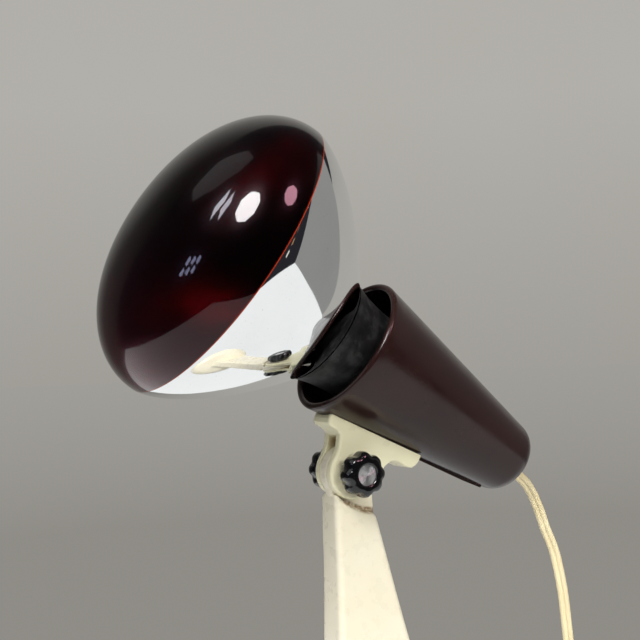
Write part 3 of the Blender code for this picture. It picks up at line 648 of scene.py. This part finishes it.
def inset(outline, distance):
    """Moves each corner of a counter-clockwise (y, z) outline inwards."""
    moved = []
    count = len(outline)
    for i in range(count):
        before = Vector(outline[i - 1])
        here = Vector(outline[i])
        after = Vector(outline[(i + 1) % count])
        first = (here - before).normalized()
        second = (after - here).normalized()
        inward = Vector((-first.y - second.y, first.x + second.x)).normalized()
        lean = max(0.5, inward.dot(Vector((-second.y, second.x))))
        moved.append(here + inward * distance / lean)
    return moved


def slab(outline, half_at, axes, rounding=0.0, steps=6):
    """Extrudes a counter-clockwise (y, z) outline along X, with rounded long edges."""
    edge = [(0.0, 0.0)]
    if rounding:
        turns = [math.pi / 2 * k / steps for k in range(steps, -1, -1)]
        edge = [(rounding * (1 - math.cos(a)), rounding * (1 - math.sin(a))) for a in turns]
    rings = []
    for side, sections in ((-1, edge[::-1]), (1, edge)):
        for short, depth in sections:
            ring = inset(outline, depth)
            rings.append([axes @ Vector((side * (half_at(z) - short), y, z)) for y, z in ring])
    return loft(rings)


def rod(start, end, radius, axes, segments=48):
    return lathe([(start, 0.0), (start, radius), (end, radius), (end, 0.0)], axes, segments)


def block(low, high, axes):
    bm = bmesh.new()
    made = bmesh.ops.create_cube(bm, size=1.0)
    for vert in made["verts"]:
        vert.co = Vector([(a + b) / 2 + c * (b - a) for a, b, c in zip(low, high, vert.co)])
    bm.transform(axes)
    return bm


def arc(centre, radius, start, end, steps):
    """Points (y, z) on a circle from start to end, in degrees from +Y."""
    turns = [math.radians(start + (end - start) * i / steps) for i in range(steps + 1)]
    return [(centre[0] + radius * math.cos(a), centre[1] + radius * math.sin(a)) for a in turns]


def applied(item):
    """Replaces a mesh with what its modifiers make of it."""
    depsgraph = bpy.context.evaluated_depsgraph_get()
    made = bpy.data.meshes.new_from_object(item.evaluated_get(depsgraph))
    item.modifiers.clear()
    item.data = made


def combine(item, bm, operation="DIFFERENCE"):
    """Cuts a temporary solid out of item, or joins it on."""
    tool = as_object("tool", bm)
    step = item.modifiers.new("solid", "BOOLEAN")
    step.operation = operation
    step.solver = "EXACT"
    step.object = tool
    applied(item)
    bpy.data.objects.remove(tool)


def add_shell(item, bm):
    """Lays another closed shell into item's mesh, for a remesh to fuse."""
    bmesh.ops.recalc_face_normals(bm, faces=bm.faces)
    bm.from_mesh(item.data)
    bm.to_mesh(item.data)
    bm.free()


def soften(item, voxel, rounds):
    """Remeshes a moulding and relaxes it, so that its cut edges come out rounded."""
    remesh = item.modifiers.new("even", "REMESH")
    remesh.mode = "VOXEL"
    remesh.voxel_size = voxel
    relax = item.modifiers.new("relax", "SMOOTH")
    relax.factor = 0.5
    relax.iterations = rounds
    applied(item)


# ---------------- cord, coil and plug


def plug_axes():
    """Plug axes: +Y from the cord end to the pins, lying flat beside the coil."""
    place = COIL_CENTRE + Vector((PLUG_OUT, -0.0134, 0.0065))
    return Matrix.Translation(place) @ Matrix.Rotation(math.pi, 4, "Z")


def smooth_step(share):
    """0 to 1 with a gentle start and end."""
    share = min(1.0, max(0.0, share))
    return share * share * (3 - 2 * share)


def coil_slot(turn):
    """Offset from the coil's radius and height of the cord at a number of turns from its start."""
    slots = []
    for row in range(5):
        pair = ((1, row), (-1, row))
        slots += pair if row % 2 == 0 else pair[::-1]
    low, high = slots[int(turn)], slots[min(int(turn) + 1, len(slots) - 1)]
    blend = smooth_step((turn - int(turn) - 0.62) / 0.38)
    across = (low[0] + (high[0] - low[0]) * blend) * (CORD_WIDTH * 0.53)
    height = CORD_THICK / 2 + (low[1] + (high[1] - low[1]) * blend) * (CORD_THICK + 0.0001)
    return across, height


def cord_path():
    """Points of the hang, the coil and the lead to the plug."""
    hang = eased(HANG, 5)
    points = [CORD_EXIT - REARWARDS * 0.004, CORD_EXIT] + hang[1:]
    arrival = hang[-1]
    start_radius = (arrival - COIL_CENTRE).xy.length
    steps = round(COIL_TURNS * COIL_STEPS)
    for i in range(1, steps + 1):
        turn = COIL_TURNS * i / steps
        across, height = coil_slot(turn)
        wander = 0.00025 * math.sin(turn * 5.1) + 0.0002 * math.sin(turn * 13.7 + 1.0)
        settle = smooth_step(turn / 0.5)
        radius = start_radius + (COIL_RADIUS + across + wander - start_radius) * settle
        height = arrival.z + (height - arrival.z) * settle
        leave = max(0.0, (turn - (COIL_TURNS - 0.3)) / 0.3) ** 2
        radius += (PLUG_OUT + 0.001 - radius) * leave
        height += (plug_axes().translation.z - height) * leave
        angle = math.pi - 2 * math.pi * turn
        points.append(COIL_CENTRE + Vector((radius * math.cos(angle), radius * math.sin(angle), height)))
    end = plug_axes() @ Vector((0.0, -0.0002, 0.0))
    last = points[-1]
    return points + [last.lerp(end, share) for share in (0.35, 0.7, 1.0)]


def across_at(points, i):
    """Unit vector across the wide side of the cord, level wherever it lies on the floor."""
    along = (points[min(i + 1, len(points) - 1)] - points[max(i - 1, 0)]).normalized()
    side = Vector((along.y, -along.x, 0.0))
    weight = min(1.0, side.length * 2)
    side = (side.normalized() if side.length > 1e-6 else Vector((1, 0, 0))) * weight
    side += Vector((1.0, 0.0, 0.0)) * (1 - weight)
    side -= along * side.dot(along)
    side = side.normalized()
    turn = CORD_TURN * min(1.0, max(0.0, (points[i].z - 0.03) / 0.06))
    return side * math.cos(turn) + side.cross(along) * math.sin(turn), along


def twin_section(steps=13):
    """Outline of flat twin flex: two round lobes with a groove on each face."""
    lobe = CORD_THICK / 2
    offset = CORD_WIDTH / 2 - lobe
    points = []
    for side in (1, -1):
        for k in range(steps):
            angle = math.radians(-144 + 288 * k / (steps - 1))
            points.append((side * (offset + lobe * math.cos(angle)), side * lobe * math.sin(angle)))
    return points


def make_cord():
    points = cord_path()
    section = twin_section()
    rings = []
    for i, point in enumerate(points):
        side, along = across_at(points, i)
        face = side.cross(along)
        rings.append([point + side * a + face * b for a, b in section])
    cord = as_object("twin_cord", loft(rings))
    finish_piece(cord, "cord_sheath", None, "cord_tube", "cord_coil", sharp=60.0)
    cord.visible_glossy = False
    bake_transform(cord)
    return cord, points


def make_plug():
    """Flat two-pin plug: a ribbed sleeve that swells into a rounded body."""
    axes = plug_axes()
    stations = eased([
        (0.0, 0.0026, 0.0022), (0.0004, 0.0029, 0.0026), (0.0085, 0.0036, 0.0033),
        (0.0105, 0.0044, 0.004), (0.0125, 0.0066, 0.005), (0.015, 0.0098, 0.0058),
        (0.019, 0.0125, 0.0063), (0.027, 0.015, 0.0065), (0.0335, 0.0164, 0.0065),
        (0.035, 0.0164, 0.0064), (0.0358, 0.0158, 0.0059),
    ], 4)
    rings = []
    for along, half_width, half_height in stations:
        rib = 0.0
        if 0.0006 < along < 0.0092:
            rib = 0.00035 * max(0.0, math.sin(along * 2 * math.pi / 0.0019))
        ring = []
        for angle in angles(72):
            c, s = math.cos(angle), math.sin(angle)
            x = (half_width - rib) * math.copysign(abs(c) ** 0.6, c)
            z = (half_height - rib) * math.copysign(abs(s) ** 0.6, s)
            ring.append(axes @ Vector((x, along, z)))
        rings.append(ring)
    body = as_object("plug_moulding", loft(rings))
    pin_profile = filleted([
        (0.0303, 0.0), (0.0303, 0.002), (0.04, 0.002), (0.055, 0.0019, 0.0012), (0.0551, 0.0),
    ])
    pieces = []
    for side, letter in ((1, "a"), (-1, "b")):
        place = axes @ Matrix.Translation((side * 0.0095, 0.0, 0.0))
        combine(body, rod(0.03, 0.04, 0.00225, place, 32))
        pin = as_object("plug_contact_" + letter, lathe(pin_profile, place, 40))
        pieces.append(finish_piece(pin, "contact_brass", "stand", "plug_pin_" + letter))
    pieces.append(finish_piece(body, "plug_moulding", "stand", "plug_body", sharp=50.0))
    for piece in pieces:
        piece.visible_glossy = False
    return pieces


def make_cord_set():
    plug = make_plug()
    cord, path = make_cord()


# ---------------- bulb, shell and collar


def shell_radius(y):
    share = (y - SHELL_MOUTH) / (SHELL_END - SHELL_MOUTH)
    return SHELL_MOUTH_RADIUS + (SHELL_END_RADIUS - SHELL_MOUTH_RADIUS) * share


def dome(radius, depth, steps):
    """Superellipse from the seam to the front of the bulb."""
    points = []
    for i in range(steps + 1):
        angle = math.pi / 2 * i / steps
        reach = radius * max(0.0, math.cos(angle)) ** (2 / DOME_POWER)
        points.append((BULB_SEAM - depth * math.sin(angle), reach if i < steps else 0.0))
    return points


def make_bulb():
    outer = dome(BULB_RADIUS, DOME_DEPTH, 56)
    inner = dome(BULB_RADIUS - GLASS, DOME_DEPTH - GLASS, 44)
    front = as_object("ruby_dome", lathe(inner[::-1] + outer, LAMP, 160))
    finish_piece(front, "ruby_glass", "bulb", "bulb_front", sharp=60.0)
    run = COLLAR_RIM - BULB_SEAM
    bowl = []
    for i in range(41):
        share = (i / 40) ** 1.4
        reach = NECK_RADIUS + (BULB_RADIUS - NECK_RADIUS) * (1 - share**1.5)
        bowl.append((BULB_SEAM + run * share, reach))
    neck = [
        (-0.0385, 0.0222), (-0.036, 0.0206), (-0.03, 0.0184), (-0.02, 0.0167), (0.0, 0.0156),
        (0.0045, 0.0143), (0.0072, 0.01255), (0.013, 0.0125),
    ]
    line = bowl + eased([bowl[-1]] + neck, 3)[1:]
    inside = [(y, r - GLASS) for y, r in reversed(line)]
    back = as_object("silvered_bowl", lathe(line + inside, LAMP, 160, closed=True))
    finish_piece(back, "silvered_glass", "bulb", "bulb_reflector", sharp=60.0)


def make_collar():
    """Flared sleeve round the bulb's neck."""
    outer = eased([
        (COLLAR_RIM, 0.02445), (-0.0392, 0.0237), (-0.037, 0.0231), (-0.032, 0.0218), (-0.023, 0.0206),
    ], 5)
    inner = eased([
        (-0.023, 0.0194), (-0.032, 0.0206), (-0.037, 0.0219), (COLLAR_RIM + 0.0001, 0.0242),
    ], 5)
    rear = [(-0.01, 0.0202), (0.0051, 0.02), (0.0051, 0.0165), (0.004, 0.0165), (0.0036, 0.0188)]
    item = as_object("collar_sleeve", lathe(outer + rear + inner, LAMP, 128, closed=True))
    finish_piece(item, "black_collar", "head", "heat_collar")


def between(first, last, steps):
    """Evenly spaced points on a line, without its ends."""
    return [tuple(a + (b - a) * i / steps for a, b in zip(first, last)) for i in range(1, steps)]


def make_shell():
    """Tapered shell with a rolled lip, a rounded end, the cord's hole and a low rib underneath."""
    wall = SHELL_WALL
    lip = wall / 2
    mouth = (SHELL_MOUTH + lip, SHELL_MOUTH_RADIUS - lip)
    centre = (SHELL_END - SHELL_END_ROUND, SHELL_END_RADIUS - SHELL_END_ROUND)
    outer_end = arc(centre, SHELL_END_ROUND, 82, 0, 16)
    inner_end = arc(centre, SHELL_END_ROUND - wall, 0, 82, 12)
    turned = arc(mouth, lip, -90, -276, 16)
    outline = [(SHELL_END - wall, 0.0)] + inner_end + between(inner_end[-1], turned[0], 12) + turned
    outline += between(turned[-1], outer_end[0], 24) + outer_end + [(SHELL_END, 0.0)]
    item = as_object("holder_shell", lathe(outline, LAMP, 144))
    combine(item, rod(SHELL_END - 0.008, SHELL_END + 0.004, CORD_HOLE_RADIUS, CORD_AXES))
    edges = [(RIB_FRONT, 0.0003), (0.056, 0.0002), (RIB_BACK, -0.0003)]
    edges += [(RIB_BACK, -0.0015), (RIB_FRONT, -0.0015)]
    rib = [(y, AXIS_RISE - shell_radius(y) - depth) for y, depth in edges]
    combine(item, slab(rib, lambda z: RIB_HALF_WIDTH, HEAD), "UNION")
    finish_piece(item, "brown_bakelite", "head", "housing_shell", sharp=35.0)


def make_grommet():
    inner = 0.00285
    profile = filleted([
        (0.07, inner), (0.07, 0.0056, 0.0004), (0.0724, 0.0056, 0.0004), (0.0726, 0.0039),
        (0.0769, 0.0039), (0.077, 0.0056, 0.0004), (0.0778, 0.0052, 0.0006), (0.0783, 0.0042, 0.0005),
        (0.0784, inner, 0.0003),
    ], closed=True)
    item = as_object("cord_bush", lathe(profile, CORD_AXES, 64, closed=True))
    finish_piece(item, "grommet_rubber", "head", "cord_grommet")


# ---------------- clevis, knobs and arm


def saddle_outline():
    """Side view of the clevis: round ears under a foot that follows the shell."""
    ears = arc((0.0, 0.0), EAR_RADIUS, 5, -185, 60)
    front = eased([
        ears[-1], (-0.0117, 0.005), (-0.0131, 0.0085), (-0.0142, 0.0104), (-0.0162, 0.0111),
    ], 3)
    foot = [(-0.0198, 0.0111), (-0.0213, 0.0118), (-0.022, 0.0134), (-0.022, 0.0205), (0.0262, 0.0275)]
    back = eased([
        (0.0264, 0.019), (0.025, 0.016), (0.0225, 0.0147), (0.0165, 0.0141), (0.0139, 0.0126),
        (0.0124, 0.0095), (0.0117, 0.005),
    ], 3)
    return (ears + front[1:] + foot + back)[::-1]


def make_saddle():
    item = as_object("clevis_saddle", slab(saddle_outline(), lambda z: LUG_HALF_WIDTH, HEAD, 0.0012))
    cone = [(-0.06, 0.0), (-0.06, shell_radius(-0.06) + GAP / 2)]
    cone += [(0.06, shell_radius(0.06) + GAP / 2), (0.06, 0.0)]
    combine(item, lathe(cone, LAMP, 144))
    combine(item, block((-SLOT_HALF, -0.03, -0.02), (SLOT_HALF, 0.0004, 0.01), HEAD))
    combine(item, block((-SLOT_HALF, -0.0001, -0.02), (SLOT_HALF, 0.03, 0.0122), HEAD))
    side = Matrix.Rotation(-math.pi / 2, 4, "Z")
    combine(item, rod(-SLOT_HALF, SLOT_HALF, 0.0118, HEAD @ side, 64))
    combine(item, rod(-0.01, 0.01, BOLT_HOLE, HEAD @ side, 40))
    for y, floor in ((-0.016, 0.0127), (0.018, 0.0162)):
        place = HEAD @ Matrix.Translation((0.0, y, 0.0)) @ UPRIGHT
        combine(item, rod(floor, 0.03, 0.0021, place, 32))
    soften(item, 0.00022, 3)
    finish_piece(item, "saddle_moulding", "head", "saddle", sharp=180.0)


def flute(angle, radius):
    """Scalloped radius of a knob: full lobes with narrower hollows."""
    dip = 0.5 - 0.5 * math.cos(KNOB_LOBES * angle)
    share = max(0.0, (radius - KNOB_PLAIN) / (KNOB_RADIUS - KNOB_PLAIN))
    return radius - KNOB_FLUTE * share * dip**1.5


def make_knobs():
    """Fluted knobs with a spun metal disc set into each face."""
    face, base = KNOB_FACE, KNOB_INNER
    knob = filleted([
        (0.015, 0.0), (0.015, 0.0045), (base, 0.0045, 0.0002), (base, 0.007, 0.0003),
        (base + 0.0016, 0.0088, 0.0012), (base + 0.003, KNOB_RADIUS, 0.0012),
        (face - 0.0034, KNOB_RADIUS, 0.0012), (face - 0.0018, 0.0091, 0.001),
        (face - 0.0006, 0.0082, 0.0008), (face, 0.0068, 0.0012), (face, 0.0048, 0.0004),
        (face - 0.0005, 0.0043, 0.0002), (face - 0.001, 0.0043), (face - 0.001, 0.005),
        (face - 0.002, 0.005), (face - 0.002, 0.0),
    ])
    plate = filleted([
        (face - 0.0017, 0.0), (face - 0.0017, DISC_RADIUS), (face - 0.0011, DISC_RADIUS, 0.0001),
        (face - 0.0009, DISC_RADIUS - 0.0003, 0.0001), (face - 0.0009, 0.001), (face - 0.00098, 0.0004),
        (face - 0.001, 0.0),
    ])
    for axes, side in ((NEAR, "near"), (FAR, "far")):
        item = as_object("fluted_knob_" + side, lathe(knob, axes, 192, radius_at=flute))
        finish_piece(item, "knob_black", side + "_knob", "knob_" + side)
        disc = as_object("spun_disc_" + side, lathe(plate, UPRIGHT, 96))
        disc.matrix_world = axes @ UPRIGHT.inverted()
        finish_piece(disc, "spun_aluminium", side + "_knob", "knob_disc_" + side, sharp=30.0)


def arm_half(z):
    return LUG_HALF_WIDTH + 0.022 * max(0.0, -z - 0.012)


def arm_outline():
    """Side view of the arm: a hollow shoulder under the clevis, widening to the foot."""
    foot = ARM_FOOT - PIVOT.z
    shoulder = [p for p in arc(SHOULDER_CENTRE, SHOULDER_RADIUS, 217, 262, 30) if p[0] > -0.0086]
    front = eased([
        (-0.009, -0.0105), (-0.0092, -0.025), (-0.0092, -0.045), (-0.0104, -0.08),
        (-0.0134, -0.108), (-0.0183, -0.132), (-0.024, -0.146), (-0.0275, foot),
    ], 5)
    rear = eased([
        (0.052, foot), (0.047, -0.143), (0.0395, -0.122), (0.03, -0.092), (0.0216, -0.062),
        (0.0158, -0.039), (0.012, -0.024),
    ], 5)
    return front + rear + shoulder[::-1]


def cut_screw_holes(item, low, high, radius):
    """Cuts the holes of the two screws that hold the arm on the base."""
    for y in ARM_SCREWS:
        screw = Matrix.Translation((0.0, y, 0.0)) @ UPRIGHT
        combine(item, rod(low, high, radius, screw, 32))


def make_arm():
    axes = Matrix.Translation(PIVOT)
    item = as_object("stand_column", slab(arm_outline(), arm_half, axes))
    rounding = item.modifiers.new("rounding", "BEVEL")
    rounding.width = 0.0026
    rounding.segments = 6
    rounding.angle_limit = math.radians(50)
    rounding.use_clamp_overlap = False
    applied(item)
    tongue = [(-0.008, -0.03), (0.0118, -0.03), (TONGUE_RADIUS, -0.012)]
    tongue += arc((0.0, 0.0), TONGUE_RADIUS, 0, 212, 70) + [(-0.0084, -0.0115)]
    add_shell(item, slab(tongue, lambda z: TONGUE_HALF, axes, 0.0004, 3))
    rim = [(0.0029, 0.0078), (0.0029, 0.0109), (0.0025, TONGUE_RADIUS)]
    rim = [(-along, radius) for along, radius in rim] + rim[::-1]
    add_shell(item, lathe(rim, NEAR, 96, closed=True))
    soften(item, 0.00034, 3)
    combine(item, rod(-0.01, 0.01, BOLT_HOLE, NEAR, 40))
    cut_screw_holes(item, 0.02, ARM_FOOT + 0.014, 0.0024)
    finish_piece(item, "ivory_moulding", "stand", "stand_arm", sharp=180.0)


# ---------------- base


def oval(profile, segments=160):
    """Stacks ovals given as (inset from the base edge, height), with flat ends."""
    rings = []
    for short, z in profile:
        wide, deep = BASE_HALF_X - short, BASE_HALF_Y - short
        turns = angles(segments)
        rings.append([(wide * math.cos(a), BASE_CENTRE_Y + deep * math.sin(a), z) for a in turns])
    return loft(rings)


def make_base():
    """Domed cover, open underneath, and the pad it stands on."""
    top = eased([
        (0.03, BASE_TOP), (0.021, 0.0248), (0.013, 0.0225), (0.007, 0.0187), (0.0028, 0.0135),
        (0.0006, 0.008), (0.0, 0.003),
    ], 6)
    rim = [(0.0002, 0.0018), (0.0007, 0.0012), (0.0024, 0.0012), (0.0028, 0.0018)]
    under = eased([
        (0.003, 0.003), (0.0032, 0.008), (0.0053, 0.0122), (0.0094, 0.0165), (0.015, 0.0197),
        (0.0226, 0.0219), (0.031, 0.0226),
    ], 4)
    item = as_object("base_cover", oval(top + rim + under))
    cut_screw_holes(item, 0.018, 0.03, 0.0026)
    finish_piece(item, "ivory_moulding", "stand", "base_shell", sharp=45.0)
    pad = as_object("foot_pad", oval([(0.0044, 0.0), (0.0038, 0.0002), (0.0036, 0.0006), (0.0036, 0.0018)]))
    finish_piece(pad, "base_pad", "stand", "base_pad", sharp=45.0)


# ---------------- carried-over CAD nodes


def dress_cad_nodes():
    """The hidden and small CAD nodes stay, each with its slot's material."""
    slots = {part["node"]: part["material_slot"] for part in frame["record"]["subparts"]}
    for name, node in frame["nodes"].items():
        node.data.materials.clear()
        node.data.materials.append(MATERIALS[slots[name]])


# ---------------- studio


def glowing(name, colour, strength=1.0):
    """A surface that shines evenly: a lit panel, or paper in even light."""
    made = bpy.data.materials.new(name)
    made.use_nodes = True
    tree = made.node_tree
    tree.nodes.clear()
    emission = tree.nodes.new("ShaderNodeEmission")
    emission.inputs["Color"].default_value = (*colour, 1.0)
    emission.inputs["Strength"].default_value = strength
    output = tree.nodes.new("ShaderNodeOutputMaterial")
    tree.links.new(emission.outputs["Emission"], output.inputs["Surface"])
    return made


def sheet(name, corners, made, seen=True, lighting=True, mirrored=True, through=None):
    """Flat stage piece through the given corners; the flags choose which rays meet it."""
    mesh = bpy.data.meshes.new(name)
    mesh.from_pydata(corners, [], [list(range(len(corners)))])
    mesh.materials.append(made)
    item = placed(name, mesh)
    item.visible_camera = seen
    item.visible_shadow = False
    item.visible_diffuse = lighting
    item.visible_glossy = mirrored
    item.visible_transmission = mirrored if through is None else through
    return item


def panel(
    name, direction, distance, half, colour, strength, sides=4, twist=0.0, stretch=1.0, through=False, **rays
):
    """Glowing flat panel with equal sides that faces the lamp from a direction, unseen by the camera."""
    towards = Vector(direction).normalized()
    centre = LAMP @ Vector((0.0, BULB_SEAM, 0.0)) + towards * distance
    across = towards.cross(UP).normalized()
    upright = across.cross(towards)
    corners = []
    for turn in angles(sides):
        angle = twist + turn + math.pi / sides
        corners.append(centre + across * half * stretch * math.cos(angle) + upright * half * math.sin(angle))
    return sheet(name, corners, glowing(name, colour, strength), seen=False, through=through, **rays)


def make_floor():
    """White table top under the lamp, on a pale floor that runs out to the backdrop's colour."""
    camera = bpy.context.scene.camera
    view = -(camera.matrix_world.to_3x3() @ UP)
    view = Vector((view.x, view.y, 0.0)).normalized()
    foot = Vector((camera.location.x, camera.location.y, 0.0)) + view * TABLE_DEPTH

    def far_edge(y):
        """Where the table's far edge, square to the view, crosses a line of equal Y."""
        return foot.x - (y - foot.y) * view.y / view.x

    corners = [(TABLE_RIGHT, TABLE_FRONT), (TABLE_RIGHT, TABLE_BACK)]
    corners += [(far_edge(TABLE_BACK), TABLE_BACK), (far_edge(TABLE_FRONT), TABLE_FRONT)]
    white = new_material(
        "table_top", (0.56, 0.56, 0.55), 0.6, Emission_Color=(1.0, 1.0, 0.99, 1.0), Emission_Strength=0.1
    )
    grain(white, 600.0, 3.0, 0.08, 0.0002)
    sheet("table_top", [(x, y, -0.0003) for x, y in corners], white, mirrored=False)
    shine = glowing("table_mirror", (0.91, 0.925, 0.92))
    sheet("table_mirror", [(x, y, -0.0006) for x, y in corners], shine, seen=False, lighting=False)
    make_far_floor(camera.location.z)
    return foot, view


def make_far_floor(eye_height):
    """Floor round the table; it takes the world's colours, by how far below eye level it lies."""
    rings = [[(0.0, 0.0, 0.0)]]
    for radius in (0.5, 2.0, FLOOR_RADIUS):
        rings.append([(radius * math.cos(a), radius * math.sin(a), 0.0) for a in angles(96)])
    floor = as_object("studio_floor", loft(rings, capped=False), (0.0, 0.0, -0.004))
    grey = glowing("studio_floor", BACKDROP_LOW)
    out = vector_math(grey, "LENGTH", place_in(grey))
    drop = add(grey, "ShaderNodeMath", {0: eye_height, 1: out}, operation="DIVIDE").outputs["Value"]
    share = span(grey, drop, BACKDROP_RISE, -BACKDROP_RISE)
    feed(grey, mixed(grey, share, BACKDROP_LOW, BACKDROP_HIGH), "Color")
    floor.data.materials.append(grey)
    for ray in ("diffuse", "glossy", "transmission", "shadow"):
        setattr(floor, "visible_" + ray, False)


def make_backdrop(foot, view):
    """Grey paper behind the lamp and a darker panel at the side, for the glass to reflect."""
    across = Vector((-view.y, view.x, 0.0))
    left, right = foot + across * 0.75, foot - across * 0.4
    paper = glowing("backdrop_paper", BACKDROP_HIGH)
    fade = ramp(paper, along_axis(paper, foot, across), -0.05, 0.42, 0.92, 0.12)
    lower = ramp(paper, along_axis(paper, foot, UP), 0.25, 0.95, 1.0, 0.45)
    feed(paper, times(paper, fade, lower), "Strength")
    corners = [left, right, right + UP * 0.46, left + UP * 1.25]
    sheet("backdrop", corners, paper, seen=False, through=False)
    end = Vector((TABLE_RIGHT, TABLE_BACK, 0.0))
    corners = [right, end, end + UP * 0.85, right + UP * 0.85]
    sheet("side_panel", corners, glowing("side_paper", (0.27, 0.268, 0.262)), seen=False, through=False)


def make_lights():
    """Octagonal soft box, a strip and a far window, in an otherwise dark room."""
    white, pink, grey = (1.0, 0.99, 0.98), (1.0, 0.48, 0.62), (0.5, 0.49, 0.49)
    panel("soft_box", (0.47, -0.44, 0.77), 1.4, 0.28, white, 34.0, 8, 0.2, 0.92)
    panel("pink_light", (0.68, 0.25, 0.69), 1.4, 0.22, pink, 15.0, 8, 0.2, 0.85, lighting=False)
    panel("ceiling", (-0.3, -0.34, 0.88), 1.3, 0.4, grey, 0.7, 7, 0.3, 0.6)
    for i in range(2):
        towards = (0.02 + 0.11 * i, -0.6, 0.79)
        panel(f"strip_light_{i}", towards, 1.6, 0.26, (0.88, 0.9, 1.0), 14.0, 4, 0.55, 0.3)
    for i in range(3):
        for k in range(2):
            towards = (0.085 * i + 0.03 * k, -0.95, 0.27 + 0.11 * k)
            panel(f"far_window_{i}{k}", towards, 2.2, 0.12, (0.62, 0.66, 1.0), 7.0, 4, 0.6, 0.7)
    panel("side_fill", (0.95, 0.1, 0.3), 1.7, 0.6, (1.0, 0.98, 0.93), 6.8, mirrored=False)
    panel("front_fill", (0.15, -0.95, 0.25), 1.7, 0.5, (1.0, 0.98, 0.94), 2.2, mirrored=False)
    panel("back_fill", (-0.7, 0.6, 0.45), 1.7, 0.5, (0.95, 0.97, 1.0), 1.6, mirrored=False)
    shades = (
        (0.2, 0.16, 0.12), (0.55, 0.5, 0.42), (0.09, 0.07, 0.06), (0.34, 0.2, 0.11), (0.7, 0.68, 0.62),
    )
    for i, shade in enumerate(shades):
        name, towards = f"room_object_{i}", (0.74 + 0.03 * math.sin(i * 2.1), 0.6, 0.42 - 0.15 * i)
        panel(name, towards, 2.6, 0.16, shade, 1.0, 4, 0.5 * i, 0.6, through=True, lighting=False)


def make_world():
    """Pale grey behind everything the camera sees; a dark room for everything else."""
    world = bpy.data.worlds.new("studio")
    world.use_nodes = True
    where = add(world, "ShaderNodeTexCoord").outputs["Generated"]
    height = add(world, "ShaderNodeSeparateXYZ", {"Vector": where}).outputs["Z"]
    paper = mixed(world, span(world, height, -BACKDROP_RISE, BACKDROP_RISE), BACKDROP_LOW, BACKDROP_HIGH)
    soft = span(world, noise(world, 9.0, 5.0, 0.5, where), 0.3, 0.7, 0.0, 0.1)
    paper = mixed(world, soft, paper, (0.42, 0.35, 0.33))
    seen = add(world, "ShaderNodeLightPath").outputs["Is Camera Ray"]
    background = world.node_tree.nodes["Background"]
    world.node_tree.links.new(mixed(world, seen, ROOM, paper), background.inputs["Color"])
    bpy.context.scene.world = world


MATERIALS = make_materials()
make_camera()
make_cord_set()
for make in (make_bulb, make_collar, make_shell, make_grommet, make_saddle, make_knobs, make_arm, make_base):
    make()
dress_cad_nodes()
table_foot, table_view = make_floor()
make_backdrop(table_foot, table_view)
make_lights()
make_world()
bpy.context.scene.view_settings.view_transform = "Standard"
